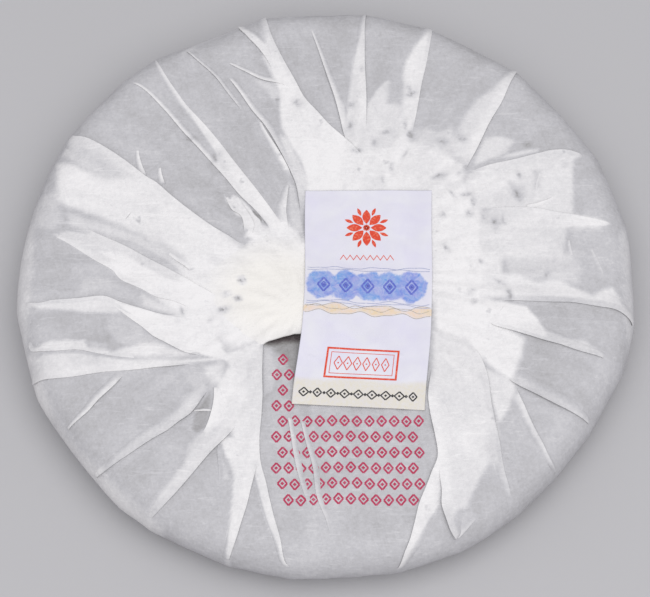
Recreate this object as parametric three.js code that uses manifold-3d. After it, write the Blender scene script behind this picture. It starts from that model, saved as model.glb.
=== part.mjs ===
// A round pressed tea cake in its tissue wrapper, seen from the gathered side.
// One sheet of tissue covers the far face, turns up round the rim and is laid in knife pleats
// towards the middle, where its end is bunched beside a thin paper slip.
// Millimetres, +Z up, the cake lies flat on z = 0 with the pleats on top.
import * as THREE from 'three';
import { mergeVertices } from 'three/addons/utils/BufferGeometryUtils.js';
import Module from 'manifold-3d';

const wasm = await Module();
wasm.setup();

// Cake
const CAKE_RADIUS = 100.7;
const CAKE_THICKNESS = 22;
const TOP_ROUNDING = 10;
const BOTTOM_ROUNDING = 12;
const SHOULDER = CAKE_RADIUS - TOP_ROUNDING;
const DIMPLE_RADIUS = 42;
const DIMPLE_DEPTH = 1.2;
const RIM_FLAT = 1.1;
const FULL_FLAT_GAP = 20;
const LATHE_SEGMENTS = 128;

// Pleats
const PLEAT_RISE = 0.75;
const PLEAT_SINK = 0.3;
const PLEAT_ROOT = 1.6;
const PLEAT_STEPS = 14;
const RIM_FADE = 0.14;
const HUB_FADE = 0.22;

// Bunched end of the sheet
const BUNCH_RISE = 3.2;
const BUNCH_CENTRE = [-9, -14];
const BUNCH_SPREAD = [22, 17];
const BUNCH_EDGE = [[34, 229], [32, 231.6], [27, 238.8], [23.2, 249.6], [21, 268], [24, 292]];
const BUNCH_REACH = 40;

// Paper slip over the middle, corners in plan
const SLIP_TOP = [[-7.1, 30.0], [34.3, 30.0]];
const SLIP_BOTTOM = [[-10.8, -46.4], [31.1, -48.5]];
const SLIP_THICKNESS = 0.35;
const SLIP_CLEARANCE = 0.4;
const SLIP_COLUMNS = 12;
const SLIP_ROWS = 20;

// Each pleat: the side of its crisp fold on which the doubled paper lies, its width there at the
// rim and at the hub, and the fold itself as [radius, bearing] pairs from the rim inwards.
const TURNS_BACK = 1;
const TURNS_ON = -1;
const PLEATS = [
  { side: TURNS_BACK, width: [2, 7], fold: [[94, 10.5], [72, 18.5], [55, 24.5]] },
  { side: TURNS_BACK, width: [6, 16], fold: [[94.5, 26], [73, 33.5], [58, 38]] },
  { side: TURNS_ON, width: [3, 12], fold: [[99, 50], [72, 44.5], [57, 38.5]] },
  { side: TURNS_ON, width: [2, 9], fold: [[99, 69.5], [72, 65], [50, 59]] },
  { side: TURNS_ON, width: [2, 7], fold: [[97, 82], [72, 79.5], [50, 75]] },
  { side: TURNS_BACK, width: [1.5, 4], fold: [[92, 93.5], [72, 89.5], [51, 83.5]] },
  { side: TURNS_ON, width: [3, 20], fold: [[99, 101.5], [72, 98.5], [60, 93.5], [44, 75]] },
  { side: TURNS_BACK, width: [1.5, 3], fold: [[80, 114.5], [60, 111], [42, 107], [26, 110]] },
  { side: TURNS_ON, width: [1.5, 6], fold: [[99, 125], [80, 126.5], [58, 127], [20, 128]] },
  { side: TURNS_BACK, width: [1.5, 6], fold: [[97, 133], [80, 131.5], [60, 133.5], [30, 138]] },
  { side: TURNS_ON, width: [10, 16], fold: [[98, 148], [80, 149], [58, 151.5], [30, 159]] },
  { side: TURNS_ON, width: [3, 11], fold: [[84, 166], [66, 171], [50, 178], [33, 194]] },
  { side: TURNS_ON, width: [3, 4], fold: [[97, 186], [80, 187], [70, 187.6], [52, 197]] },
  { side: TURNS_BACK, width: [2, 14], fold: [[76, 187], [62, 196.5], [55, 207.5], [45, 221]] },
  { side: TURNS_BACK, width: [6, 7], fold: [[99, 200.5], [85, 204.8], [72, 208.7], [52, 218.5]] },
  { side: TURNS_BACK, width: [2, 4], fold: [[96, 213.5], [86, 212.5], [70, 208.5]] },
  { side: TURNS_BACK, width: [2, 9], fold: [[99, 223.5], [82, 226.3], [68, 229.5], [54, 227.8]] },
  { side: TURNS_BACK, width: [2, 11], fold: [[99, 236.6], [84, 239], [70, 240.8], [60, 242]] },
  { side: TURNS_BACK, width: [1.5, 8], fold: [[99, 252.2], [88, 252.5], [66, 251]] },
  { side: TURNS_BACK, width: [2, 9], fold: [[99, 264.2], [80, 257.4], [61.6, 250.3], [47, 245], [32, 231.6]] },
  { side: TURNS_ON, width: [3, 14], fold: [[99, 282.7], [86, 289.5], [73, 298.7], [48, 310]] },
  { side: TURNS_ON, width: [2, 10], fold: [[98.5, 294], [88, 294.2], [66, 300.5]] },
  { side: TURNS_BACK, width: [2, 13], fold: [[97, 307.7], [88, 309.5], [75, 315.3], [53, 331]] },
  { side: TURNS_BACK, width: [1, 3], fold: [[95.5, 317.1], [86, 319.8], [68, 327]] },
  { side: TURNS_ON, width: [1.5, 5], fold: [[97.7, 328.2], [85, 327.3], [66, 326.4]] },
  { side: TURNS_ON, width: [1.5, 12], fold: [[94, 341.1], [79.4, 340.9], [54, 341.1]] },
  { side: TURNS_ON, width: [3, 9], fold: [[99, 351.3], [86, 352.3], [58, 350.2]] },
];

const radians = THREE.MathUtils.degToRad;
const smooth = (value) => THREE.MathUtils.smoothstep(value, 0, 1);

// The rim runs in flats between the corners where pleats turn over it.
const RIM_CORNERS = PLEATS.filter((pleat) => pleat.fold[0][0] > 93).map((pleat) => pleat.fold[0][1]);

function rimShare(bearingDegrees) {
  const bearing = THREE.MathUtils.euclideanModulo(bearingDegrees, 360);
  const next = RIM_CORNERS.findIndex((corner) => corner > bearing);
  const last = RIM_CORNERS.length - 1;
  const from = next <= 0 ? RIM_CORNERS[last] - (next === 0 ? 360 : 0) : RIM_CORNERS[next - 1];
  const to = next < 0 ? RIM_CORNERS[0] + 360 : RIM_CORNERS[next];
  const flatness = Math.min(1, (to - from) / FULL_FLAT_GAP) ** 2;
  const across = (bearing - from) / (to - from);
  return 1 - (RIM_FLAT * flatness * Math.sin(Math.PI * across)) / CAKE_RADIUS;
}

// Flats fade out towards the middle of the cake.
function settle(radius, height, bearing) {
  const share = THREE.MathUtils.lerp(1, rimShare(THREE.MathUtils.radToDeg(bearing)), smooth(radius / SHOULDER));
  return new THREE.Vector3(radius * share * Math.cos(bearing), radius * share * Math.sin(bearing), height);
}

function crown(radius) {
  const inside = Math.max(0, 1 - (radius / DIMPLE_RADIUS) ** 2);
  return CAKE_THICKNESS - DIMPLE_DEPTH * inside * inside;
}

// A place on the wrapper: reach is measured along the surface from the middle, over the shoulder.
function onWrapper(reach, bearing, lift) {
  const turn = Math.max(0, reach - SHOULDER) / TOP_ROUNDING;
  if (turn === 0) {
    return settle(reach, crown(reach) + lift, bearing);
  }
  const away = TOP_ROUNDING + lift;
  const centre = CAKE_THICKNESS - TOP_ROUNDING;
  return settle(SHOULDER + away * Math.sin(turn), centre + away * Math.cos(turn), bearing);
}

function reachOf(radius) {
  if (radius <= SHOULDER) {
    return radius;
  }
  return SHOULDER + TOP_ROUNDING * Math.asin(Math.min(1, (radius - SHOULDER) / TOP_ROUNDING));
}

function bunchLift(x, y) {
  const across = (x - BUNCH_CENTRE[0]) / BUNCH_SPREAD[0];
  const along = (y - BUNCH_CENTRE[1]) / BUNCH_SPREAD[1];
  return BUNCH_RISE * Math.exp(-(across ** 2) - along ** 2);
}

// Moves every vertex of a geometry by a rule and drops what the rule leaves stale.
function reshape(geometry, rule) {
  geometry.deleteAttribute('normal');
  geometry.deleteAttribute('uv');
  const merged = mergeVertices(geometry, 1e-5);
  const places = merged.getAttribute('position');
  const place = new THREE.Vector3();
  for (let i = 0; i < places.count; i += 1) {
    place.fromBufferAttribute(places, i);
    place.copy(rule(place));
    places.setXYZ(i, place.x, place.y, place.z);
  }
  return merged;
}

function toSolid(geometry) {
  return new wasm.Manifold(new wasm.Mesh({
    numProp: 3,
    vertProperties: new Float32Array(geometry.getAttribute('position').array),
    triVerts: new Uint32Array(geometry.getIndex().array),
  }));
}

function toGeometry(solid) {
  const mesh = solid.getMesh();
  const geometry = new THREE.BufferGeometry();
  geometry.setAttribute('position', new THREE.BufferAttribute(mesh.vertProperties, 3));
  geometry.setIndex(new THREE.BufferAttribute(mesh.triVerts, 1));
  return geometry;
}

// Quarter turn of the profile between two directions, measured from straight down.
function quarterTurn(centreRadius, centreHeight, rounding, fromDegrees, toDegrees, steps) {
  const points = [];
  for (let i = 0; i <= steps; i += 1) {
    const angle = radians(THREE.MathUtils.lerp(fromDegrees, toDegrees, i / steps));
    const radius = centreRadius + rounding * Math.sin(angle);
    points.push(new THREE.Vector2(radius, centreHeight - rounding * Math.cos(angle)));
  }
  return points;
}

// Half section of the wrapped cake, from the middle of the underside to the middle of the top.
function cakeProfile() {
  const rimHeight = CAKE_THICKNESS - TOP_ROUNDING;
  const topRadii = [72, 54, DIMPLE_RADIUS, 32, 21, 10, 0];
  return [
    new THREE.Vector2(0, 0),
    new THREE.Vector2(44, 0),
    ...quarterTurn(CAKE_RADIUS - BOTTOM_ROUNDING, rimHeight, BOTTOM_ROUNDING, 0, 90, 5),
    ...quarterTurn(SHOULDER, rimHeight, TOP_ROUNDING, 90, 180, 6).slice(1),
    ...topRadii.map((radius) => new THREE.Vector2(radius, crown(radius))),
  ];
}

function cakeBody() {
  const lathe = new THREE.LatheGeometry(cakeProfile(), LATHE_SEGMENTS);
  lathe.rotateX(Math.PI / 2);
  const body = reshape(lathe, (place) => {
    return settle(Math.hypot(place.x, place.y), place.z, Math.atan2(place.y, place.x));
  });
  return toSolid(body);
}

// A smooth line through [radius, bearing] pairs, drawn on the wrapper laid out flat.
function foldLine(pairs) {
  return new THREE.SplineCurve(pairs.map(([radius, bearing]) => {
    const reach = reachOf(radius);
    return new THREE.Vector2(reach * Math.cos(radians(bearing)), reach * Math.sin(radians(bearing)));
  }));
}

// A flap of doubled paper as a closed block: the crisp fold at across = 0, the soft side at 1.
// The block's root stays inside the cake, so only the raised face shows after fusing.
function flap(pairs, side, widthAt, liftAt, columns) {
  const line = foldLine(pairs);
  const block = new THREE.BoxGeometry(1, 1, 1, PLEAT_STEPS, columns, 1);
  return toSolid(reshape(block, (place) => {
    const along = place.x + 0.5;
    const across = side > 0 ? place.y + 0.5 : 0.5 - place.y;
    const start = line.getPoint(along);
    const heading = line.getTangent(along);
    const offset = across * widthAt(along) * side;
    const flatX = start.x - heading.y * offset;
    const flatY = start.y + heading.x * offset;
    const lift = place.z > 0 ? liftAt(along, across, flatX, flatY) : -PLEAT_ROOT;
    return onWrapper(Math.hypot(flatX, flatY), Math.atan2(flatY, flatX), lift);
  }));
}

function pleat({ side, width, fold }) {
  const widthAt = (along) => THREE.MathUtils.lerp(width[0], width[1], smooth(along * 1.25));
  const liftAt = (along, across) => {
    const ends = smooth(along / RIM_FADE) * smooth((1 - along) / HUB_FADE);
    return (PLEAT_RISE * (1 - across) + PLEAT_SINK) * ends - PLEAT_SINK;
  };
  return flap(fold, side, widthAt, liftAt, 2);
}

// The gathered end of the sheet: one raised edge, sloping away into the pleats behind it.
function bunch() {
  const liftAt = (along, across, x, y) => {
    const ends = smooth(along / 0.2) * smooth((1 - along) / 0.2);
    return (bunchLift(x, y) + PLEAT_SINK) * ends * (1 - across ** 4) - PLEAT_SINK;
  };
  return flap(BUNCH_EDGE, TURNS_BACK, () => BUNCH_REACH, liftAt, 8);
}

function wrappedCake() {
  return PLEATS.reduce((whole, one) => whole.add(pleat(one)), cakeBody().add(bunch()));
}

// The slip lies on the sheet and rides over the bunched end.
function slip() {
  const card = new THREE.BoxGeometry(1, 1, 1, SLIP_COLUMNS, SLIP_ROWS, 1);
  return toSolid(reshape(card, (place) => {
    const right = place.x + 0.5;
    const up = place.y + 0.5;
    const left = new THREE.Vector2(...SLIP_BOTTOM[0]).lerp(new THREE.Vector2(...SLIP_TOP[0]), up);
    const far = new THREE.Vector2(...SLIP_BOTTOM[1]).lerp(new THREE.Vector2(...SLIP_TOP[1]), up);
    const plan = left.lerp(far, right);
    const under = crown(plan.length()) + bunchLift(plan.x, plan.y) + SLIP_CLEARANCE;
    return new THREE.Vector3(plan.x, plan.y, under + (place.z > 0 ? SLIP_THICKNESS : 0));
  }));
}

function paper(name, solid, colour, roughness) {
  const material = new THREE.MeshStandardMaterial({ color: colour, roughness, metalness: 0 });
  const mesh = new THREE.Mesh(toGeometry(solid), material);
  mesh.name = name;
  return mesh;
}

// Brings the middle of the underside's bounding box to the origin.
function centred(meshes) {
  const group = new THREE.Group();
  group.add(...meshes);
  const middle = new THREE.Box3().setFromObject(group).getCenter(new THREE.Vector3());
  meshes.forEach((mesh) => mesh.geometry.translate(-middle.x, -middle.y, 0));
  return group;
}

const teaCake = centred([
  paper('wrapped_cake', wrappedCake(), '#dcdcdf', 0.85),
  paper('paper_slip', slip(), '#ebe9f2', 0.8),
]);
teaCake.name = 'tea_cake';

export default teaCake;
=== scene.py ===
# %% [markdown]
# # A pressed tea cake in its tissue wrapper
# The object is a flat round cake of pressed tea, shut in one sheet of thin tissue. The sheet covers
# the far face, turns up round the rim and is laid in knife pleats towards the middle, where its end
# is bunched up. A thin printed paper slip lies over the middle.
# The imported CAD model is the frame: every piece here takes its size and place from it.

# %% Load the frame
import math

import bpy
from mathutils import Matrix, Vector
import numpy as np


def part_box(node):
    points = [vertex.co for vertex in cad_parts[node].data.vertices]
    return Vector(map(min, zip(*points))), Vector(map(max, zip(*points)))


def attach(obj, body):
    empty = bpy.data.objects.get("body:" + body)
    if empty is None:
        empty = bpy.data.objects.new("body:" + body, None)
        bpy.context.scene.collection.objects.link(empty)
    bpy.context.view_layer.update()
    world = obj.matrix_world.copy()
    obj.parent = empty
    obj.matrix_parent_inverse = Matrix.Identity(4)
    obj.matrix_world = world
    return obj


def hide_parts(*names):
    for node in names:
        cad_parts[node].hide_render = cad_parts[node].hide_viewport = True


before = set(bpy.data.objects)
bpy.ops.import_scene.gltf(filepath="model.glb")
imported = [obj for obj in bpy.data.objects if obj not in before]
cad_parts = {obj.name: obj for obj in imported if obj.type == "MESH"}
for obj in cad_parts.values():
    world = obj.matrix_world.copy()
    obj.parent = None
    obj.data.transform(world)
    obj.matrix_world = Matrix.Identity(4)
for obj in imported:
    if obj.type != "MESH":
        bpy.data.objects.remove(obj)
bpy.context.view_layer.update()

MM = 0.001

# %% [markdown]
# ## The wrapped disc as one formula
# A point on the wrapper has a *reach*, the distance along the paper from the middle of the top, and
# a *bearing*. Up to the shoulder the reach is the radius. Past it the paper turns over a quarter
# circle. A *lift* moves the point off the surface. Folds, flaps and prints all use this one rule, so
# they lie on each other with no fitting. The sizes are those of the CAD model, in millimetres. Only
# the outline is finer here: some corners of the rim are moved and three stretches are pressed in.

# %% Sizes of the disc
CAKE_RADIUS = 100.7
CAKE_THICKNESS = 22.0
TOP_ROUNDING = 10.0
BOTTOM_ROUNDING = 12.0
SHOULDER = CAKE_RADIUS - TOP_ROUNDING
RIM_HEIGHT = CAKE_THICKNESS - TOP_ROUNDING
DIMPLE_RADIUS = 42.0
DIMPLE_DEPTH = 1.2
RIM_FLAT = 1.1
FULL_FLAT_GAP = 20.0

# The lumps stand a little proud, so the plan is drawn in by this share to stay in the CAD box.
LUMP_ROOM = 0.0002

# The rim's corners, in degrees. Each press has its middle and half width in degrees, then its depth.
RIM_CORNERS = [10.5, 26, 50, 69.5, 82, 101.5, 125, 133, 148, 186, 203.5, 229.5, 236.6,
               252.2, 264.2, 282.7, 294, 307.7, 317.1, 328.2, 341.1, 351.3]
RIM_PRESSES = [(219.0, 12.0, 0.3), (114.0, 11.0, 0.9), (322.0, 22.0, 2.0)]
PRESS_START = 72.0
PRESS_RUN = 24.0

SLIP_TOP = [(-7.1, 30.0), (34.3, 30.0)]
SLIP_BOTTOM = [(-10.8, -46.4), (31.1, -48.5)]

# The CAD model is centred on its own box, so the plan is moved by what the slip's box shows.
slip_low = np.array(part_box("paper_slip")[0]) / MM
PLAN_SHIFT = slip_low[:2] - np.array([SLIP_BOTTOM[0][0], SLIP_BOTTOM[1][1]])
print("plan shift, mm:", PLAN_SHIFT.round(3))

# %% Formula of the disc
def smooth(value):
    """Rises from 0 to 1 with level ends: 3t squared less 2t cubed, t held between 0 and 1."""
    held = np.clip(value, 0.0, 1.0)
    return held * held * (3.0 - 2.0 * held)


def rim_share(bearing):
    """How much of the full radius the rim keeps: 1 at a corner, less by half a sine wave between."""
    degrees = np.degrees(bearing) % 360.0
    corners = np.array([RIM_CORNERS[-1] - 360.0, *RIM_CORNERS, RIM_CORNERS[0] + 360.0])
    following = np.clip(np.searchsorted(corners, degrees, side="right"), 1, len(corners) - 1)
    start, stop = corners[following - 1], corners[following]
    flatness = np.minimum(1.0, (stop - start) / FULL_FLAT_GAP) ** 2
    across = (degrees - start) / (stop - start)
    return 1.0 - RIM_FLAT * flatness * np.sin(np.pi * across) / CAKE_RADIUS


def rim_press(bearing):
    """How far stretches of the rim are pressed in, in mm: depth times 1 less the square across."""
    degrees = np.degrees(bearing) % 360.0
    return sum(depth * np.clip(1.0 - ((degrees - middle) / half) ** 2, 0.0, 1.0)
               for middle, half, depth in RIM_PRESSES)


def crown(radius):
    """Height of the top: level, less a shallow dimple of (1 - r squared) squared in the middle."""
    inside = np.clip(1.0 - (radius / DIMPLE_RADIUS) ** 2, 0.0, 1.0)
    return CAKE_THICKNESS - DIMPLE_DEPTH * inside ** 2


def settle(radius, height, bearing):
    """Turns radius, height and bearing into metres: the rim's flats go in, with room for lumps."""
    share = 1.0 - LUMP_ROOM + (rim_share(bearing) - 1.0) * smooth(radius / SHOULDER)
    away = radius * share - rim_press(bearing) * smooth((radius - PRESS_START) / PRESS_RUN)
    x = away * np.cos(bearing) + PLAN_SHIFT[0]
    y = away * np.sin(bearing) + PLAN_SHIFT[1]
    return np.stack([x, y, height + 0.0 * x], axis=-1) * MM


def on_wrapper(reach, bearing, lift):
    """A point lift above the paper: over the level top, or round the shoulder's quarter circle."""
    turn = np.clip((reach - SHOULDER) / TOP_ROUNDING, 0.0, math.pi / 2)
    away = TOP_ROUNDING + lift
    level = turn == 0.0
    radius = np.where(level, reach, SHOULDER + away * np.sin(turn))
    height = np.where(level, crown(reach) + lift, RIM_HEIGHT + away * np.cos(turn))
    return settle(radius, height, bearing)


def reach_of(radius):
    """The reach whose plan radius this is: past the shoulder, the arc with that sine."""
    over = np.arcsin(np.clip((radius - SHOULDER) / TOP_ROUNDING, 0.0, 1.0))
    return np.where(radius <= SHOULDER, radius, SHOULDER + TOP_ROUNDING * over)


rim_sides = on_wrapper(reach_of(CAKE_RADIUS), np.radians([0.0, 90.0, 180.0, 270.0]), 0.0)
print("rim at four sides, m:", rim_sides[:, :2].round(4).tolist())

# %% [markdown]
# ## Small unevenness
# Pressed tea is lumpy under thin paper, and pulled tissue runs in faint folds towards the middle.
# Both are sums of sine waves with seeded directions: many waves round the disc and few along it
# give radial folds, and plane waves in all directions give the lumps. Bump in the material could
# fake them, but real shape shows in the outline and in the meshes too.

# %% Unevenness
RIPPLE_HEIGHT = 0.085
RIPPLE_COUNT = 16
RIPPLE_FADE = 60.0
LUMP_HEIGHT = 0.10
LUMP_COUNT = 18
waves = np.random.default_rng(7)
RIPPLES = [(int(count), slope, phase) for count, slope, phase in zip(
    waves.integers(14, 72, RIPPLE_COUNT), waves.uniform(-0.09, 0.09, RIPPLE_COUNT),
    waves.uniform(0.0, 2 * np.pi, RIPPLE_COUNT))]
LUMPS = [(rate * math.cos(turn), rate * math.sin(turn), phase) for rate, turn, phase in zip(
    waves.uniform(0.18, 0.62, LUMP_COUNT), waves.uniform(0.0, np.pi, LUMP_COUNT),
    waves.uniform(0.0, 2 * np.pi, LUMP_COUNT))]


def unevenness(reach, bearing):
    """Sum of waves round the disc, fading to the middle, and of plane waves over it, in mm."""
    x, y = reach * np.cos(bearing), reach * np.sin(bearing)
    total = 0.0 * x
    for count, slope, phase in RIPPLES:
        wave = RIPPLE_HEIGHT / 2 * np.sin(count * bearing + slope * reach + phase)
        total = total + wave * smooth(reach / RIPPLE_FADE)
    for along_x, along_y, phase in LUMPS:
        total = total + LUMP_HEIGHT / 4 * np.sin(along_x * x + along_y * y + phase)
    return total


def on_paper(x, y, lift):
    """A point lift above the uneven paper, from its place in mm on the paper laid out flat."""
    reach, bearing = np.hypot(x, y), np.arctan2(y, x)
    return on_wrapper(reach, bearing, lift + unevenness(reach, bearing))


around = np.linspace(0.0, 2 * np.pi, 360)
sample = unevenness(RIPPLE_FADE + 0.0 * around, around)
print("unevenness on one ring, mm:", sample.min().round(2), "to", sample.max().round(2))

# %% [markdown]
# ## Meshes from arrays
# A surface is a grid of points. Its faces join each point to the next in both directions, and a
# direction that closes on itself joins the last to the first. A strip of folded paper is a closed
# loop carried along a line, with one face at each end. Each vertex can carry numbers, such as how
# many paper layers lie there, which the material reads by name.

# %% Mesh helpers
def grid_faces(rows, columns, wrap_rows=False, wrap_columns=False):
    """Quads of a grid numbered row by row, each corner one step on, the last step wrapping."""
    row = np.arange(rows if wrap_rows else rows - 1)[:, None]
    column = np.arange(columns if wrap_columns else columns - 1)[None, :]
    here, right = row * columns + column, row * columns + (column + 1) % columns
    up, both = (row + 1) % rows * columns + column, (row + 1) % rows * columns + (column + 1) % columns
    return np.stack([here, right, both, up], axis=-1).reshape(-1, 4)


def tube_faces(rows, columns, flipped=False):
    """Quads of a closed loop of rows carried over the columns, and one face at each end."""
    sides = grid_faces(rows, columns, wrap_rows=True)
    start, stop = np.arange(rows)[::-1] * columns, np.arange(rows) * columns + columns - 1
    if flipped:
        sides, start, stop = sides[:, ::-1], start[::-1], stop[::-1]
    return [sides, start[None, :], stop[None, :]]


def make_piece(name, parts, material, replaced=None):
    """Joins parts, each (points, list of faces, dict of numbers), into one smooth-shaded piece."""
    points, faces, numbers, first = [], [], {}, 0
    for place, part_faces, values in parts:
        flat = place.reshape(-1, 3)
        points.append(flat)
        faces.extend((np.asarray(block) + first).tolist() for block in part_faces)
        for key, value in values.items():
            numbers.setdefault(key, []).append(np.broadcast_to(value, place.shape[:-1]).reshape(-1))
        first += len(flat)
    mesh = bpy.data.meshes.new(name)
    mesh.from_pydata(np.concatenate(points).tolist(), [], [face for block in faces for face in block])
    for key, value in numbers.items():
        mesh.attributes.new(key, "FLOAT", "POINT").data.foreach_set("value", np.concatenate(value))
    mesh.polygons.foreach_set("use_smooth", np.ones(len(mesh.polygons), bool))
    mesh.materials.append(material)
    mesh.update()
    piece = bpy.data.objects.new(name, mesh)
    bpy.context.scene.collection.objects.link(piece)
    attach(piece, "root")
    if replaced:
        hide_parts(replaced)
    print(name, "triangles:", sum(len(face) - 2 for block in faces for face in block))


print("a loop of 5 carried over 4 steps has", sum(map(len, tube_faces(5, 4))), "faces")

# %% Smooth lines
CURVE_SAMPLES = 40


def through(points, count):
    """A smooth line through the points (Catmull-Rom), resampled to even steps along its length."""
    given = np.asarray(points, float)
    padded = np.concatenate([given[:1], given, given[-1:]])
    place = np.linspace(0.0, len(given) - 1 - 1e-9, CURVE_SAMPLES * len(given))
    span = place.astype(int)
    t = (place - span)[:, None]
    a, b, c, d = (padded[span + k] for k in range(4))
    curve = b + 0.5 * t * (c - a + t * (2 * a - 5 * b + 4 * c - d + t * (3 * (b - c) + d - a)))
    length = np.concatenate([[0.0], np.cumsum(np.hypot(*np.diff(curve, axis=0).T))])
    even = np.linspace(0.0, length[-1], count)
    return np.stack([np.interp(even, length, curve[:, k]) for k in (0, 1)], axis=-1), length[-1]


example_line, example_length = through([(0, 0), (30, 0), (60, 20)], 5)
print("a line through three places is", example_length.round(1), "mm long")
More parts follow.
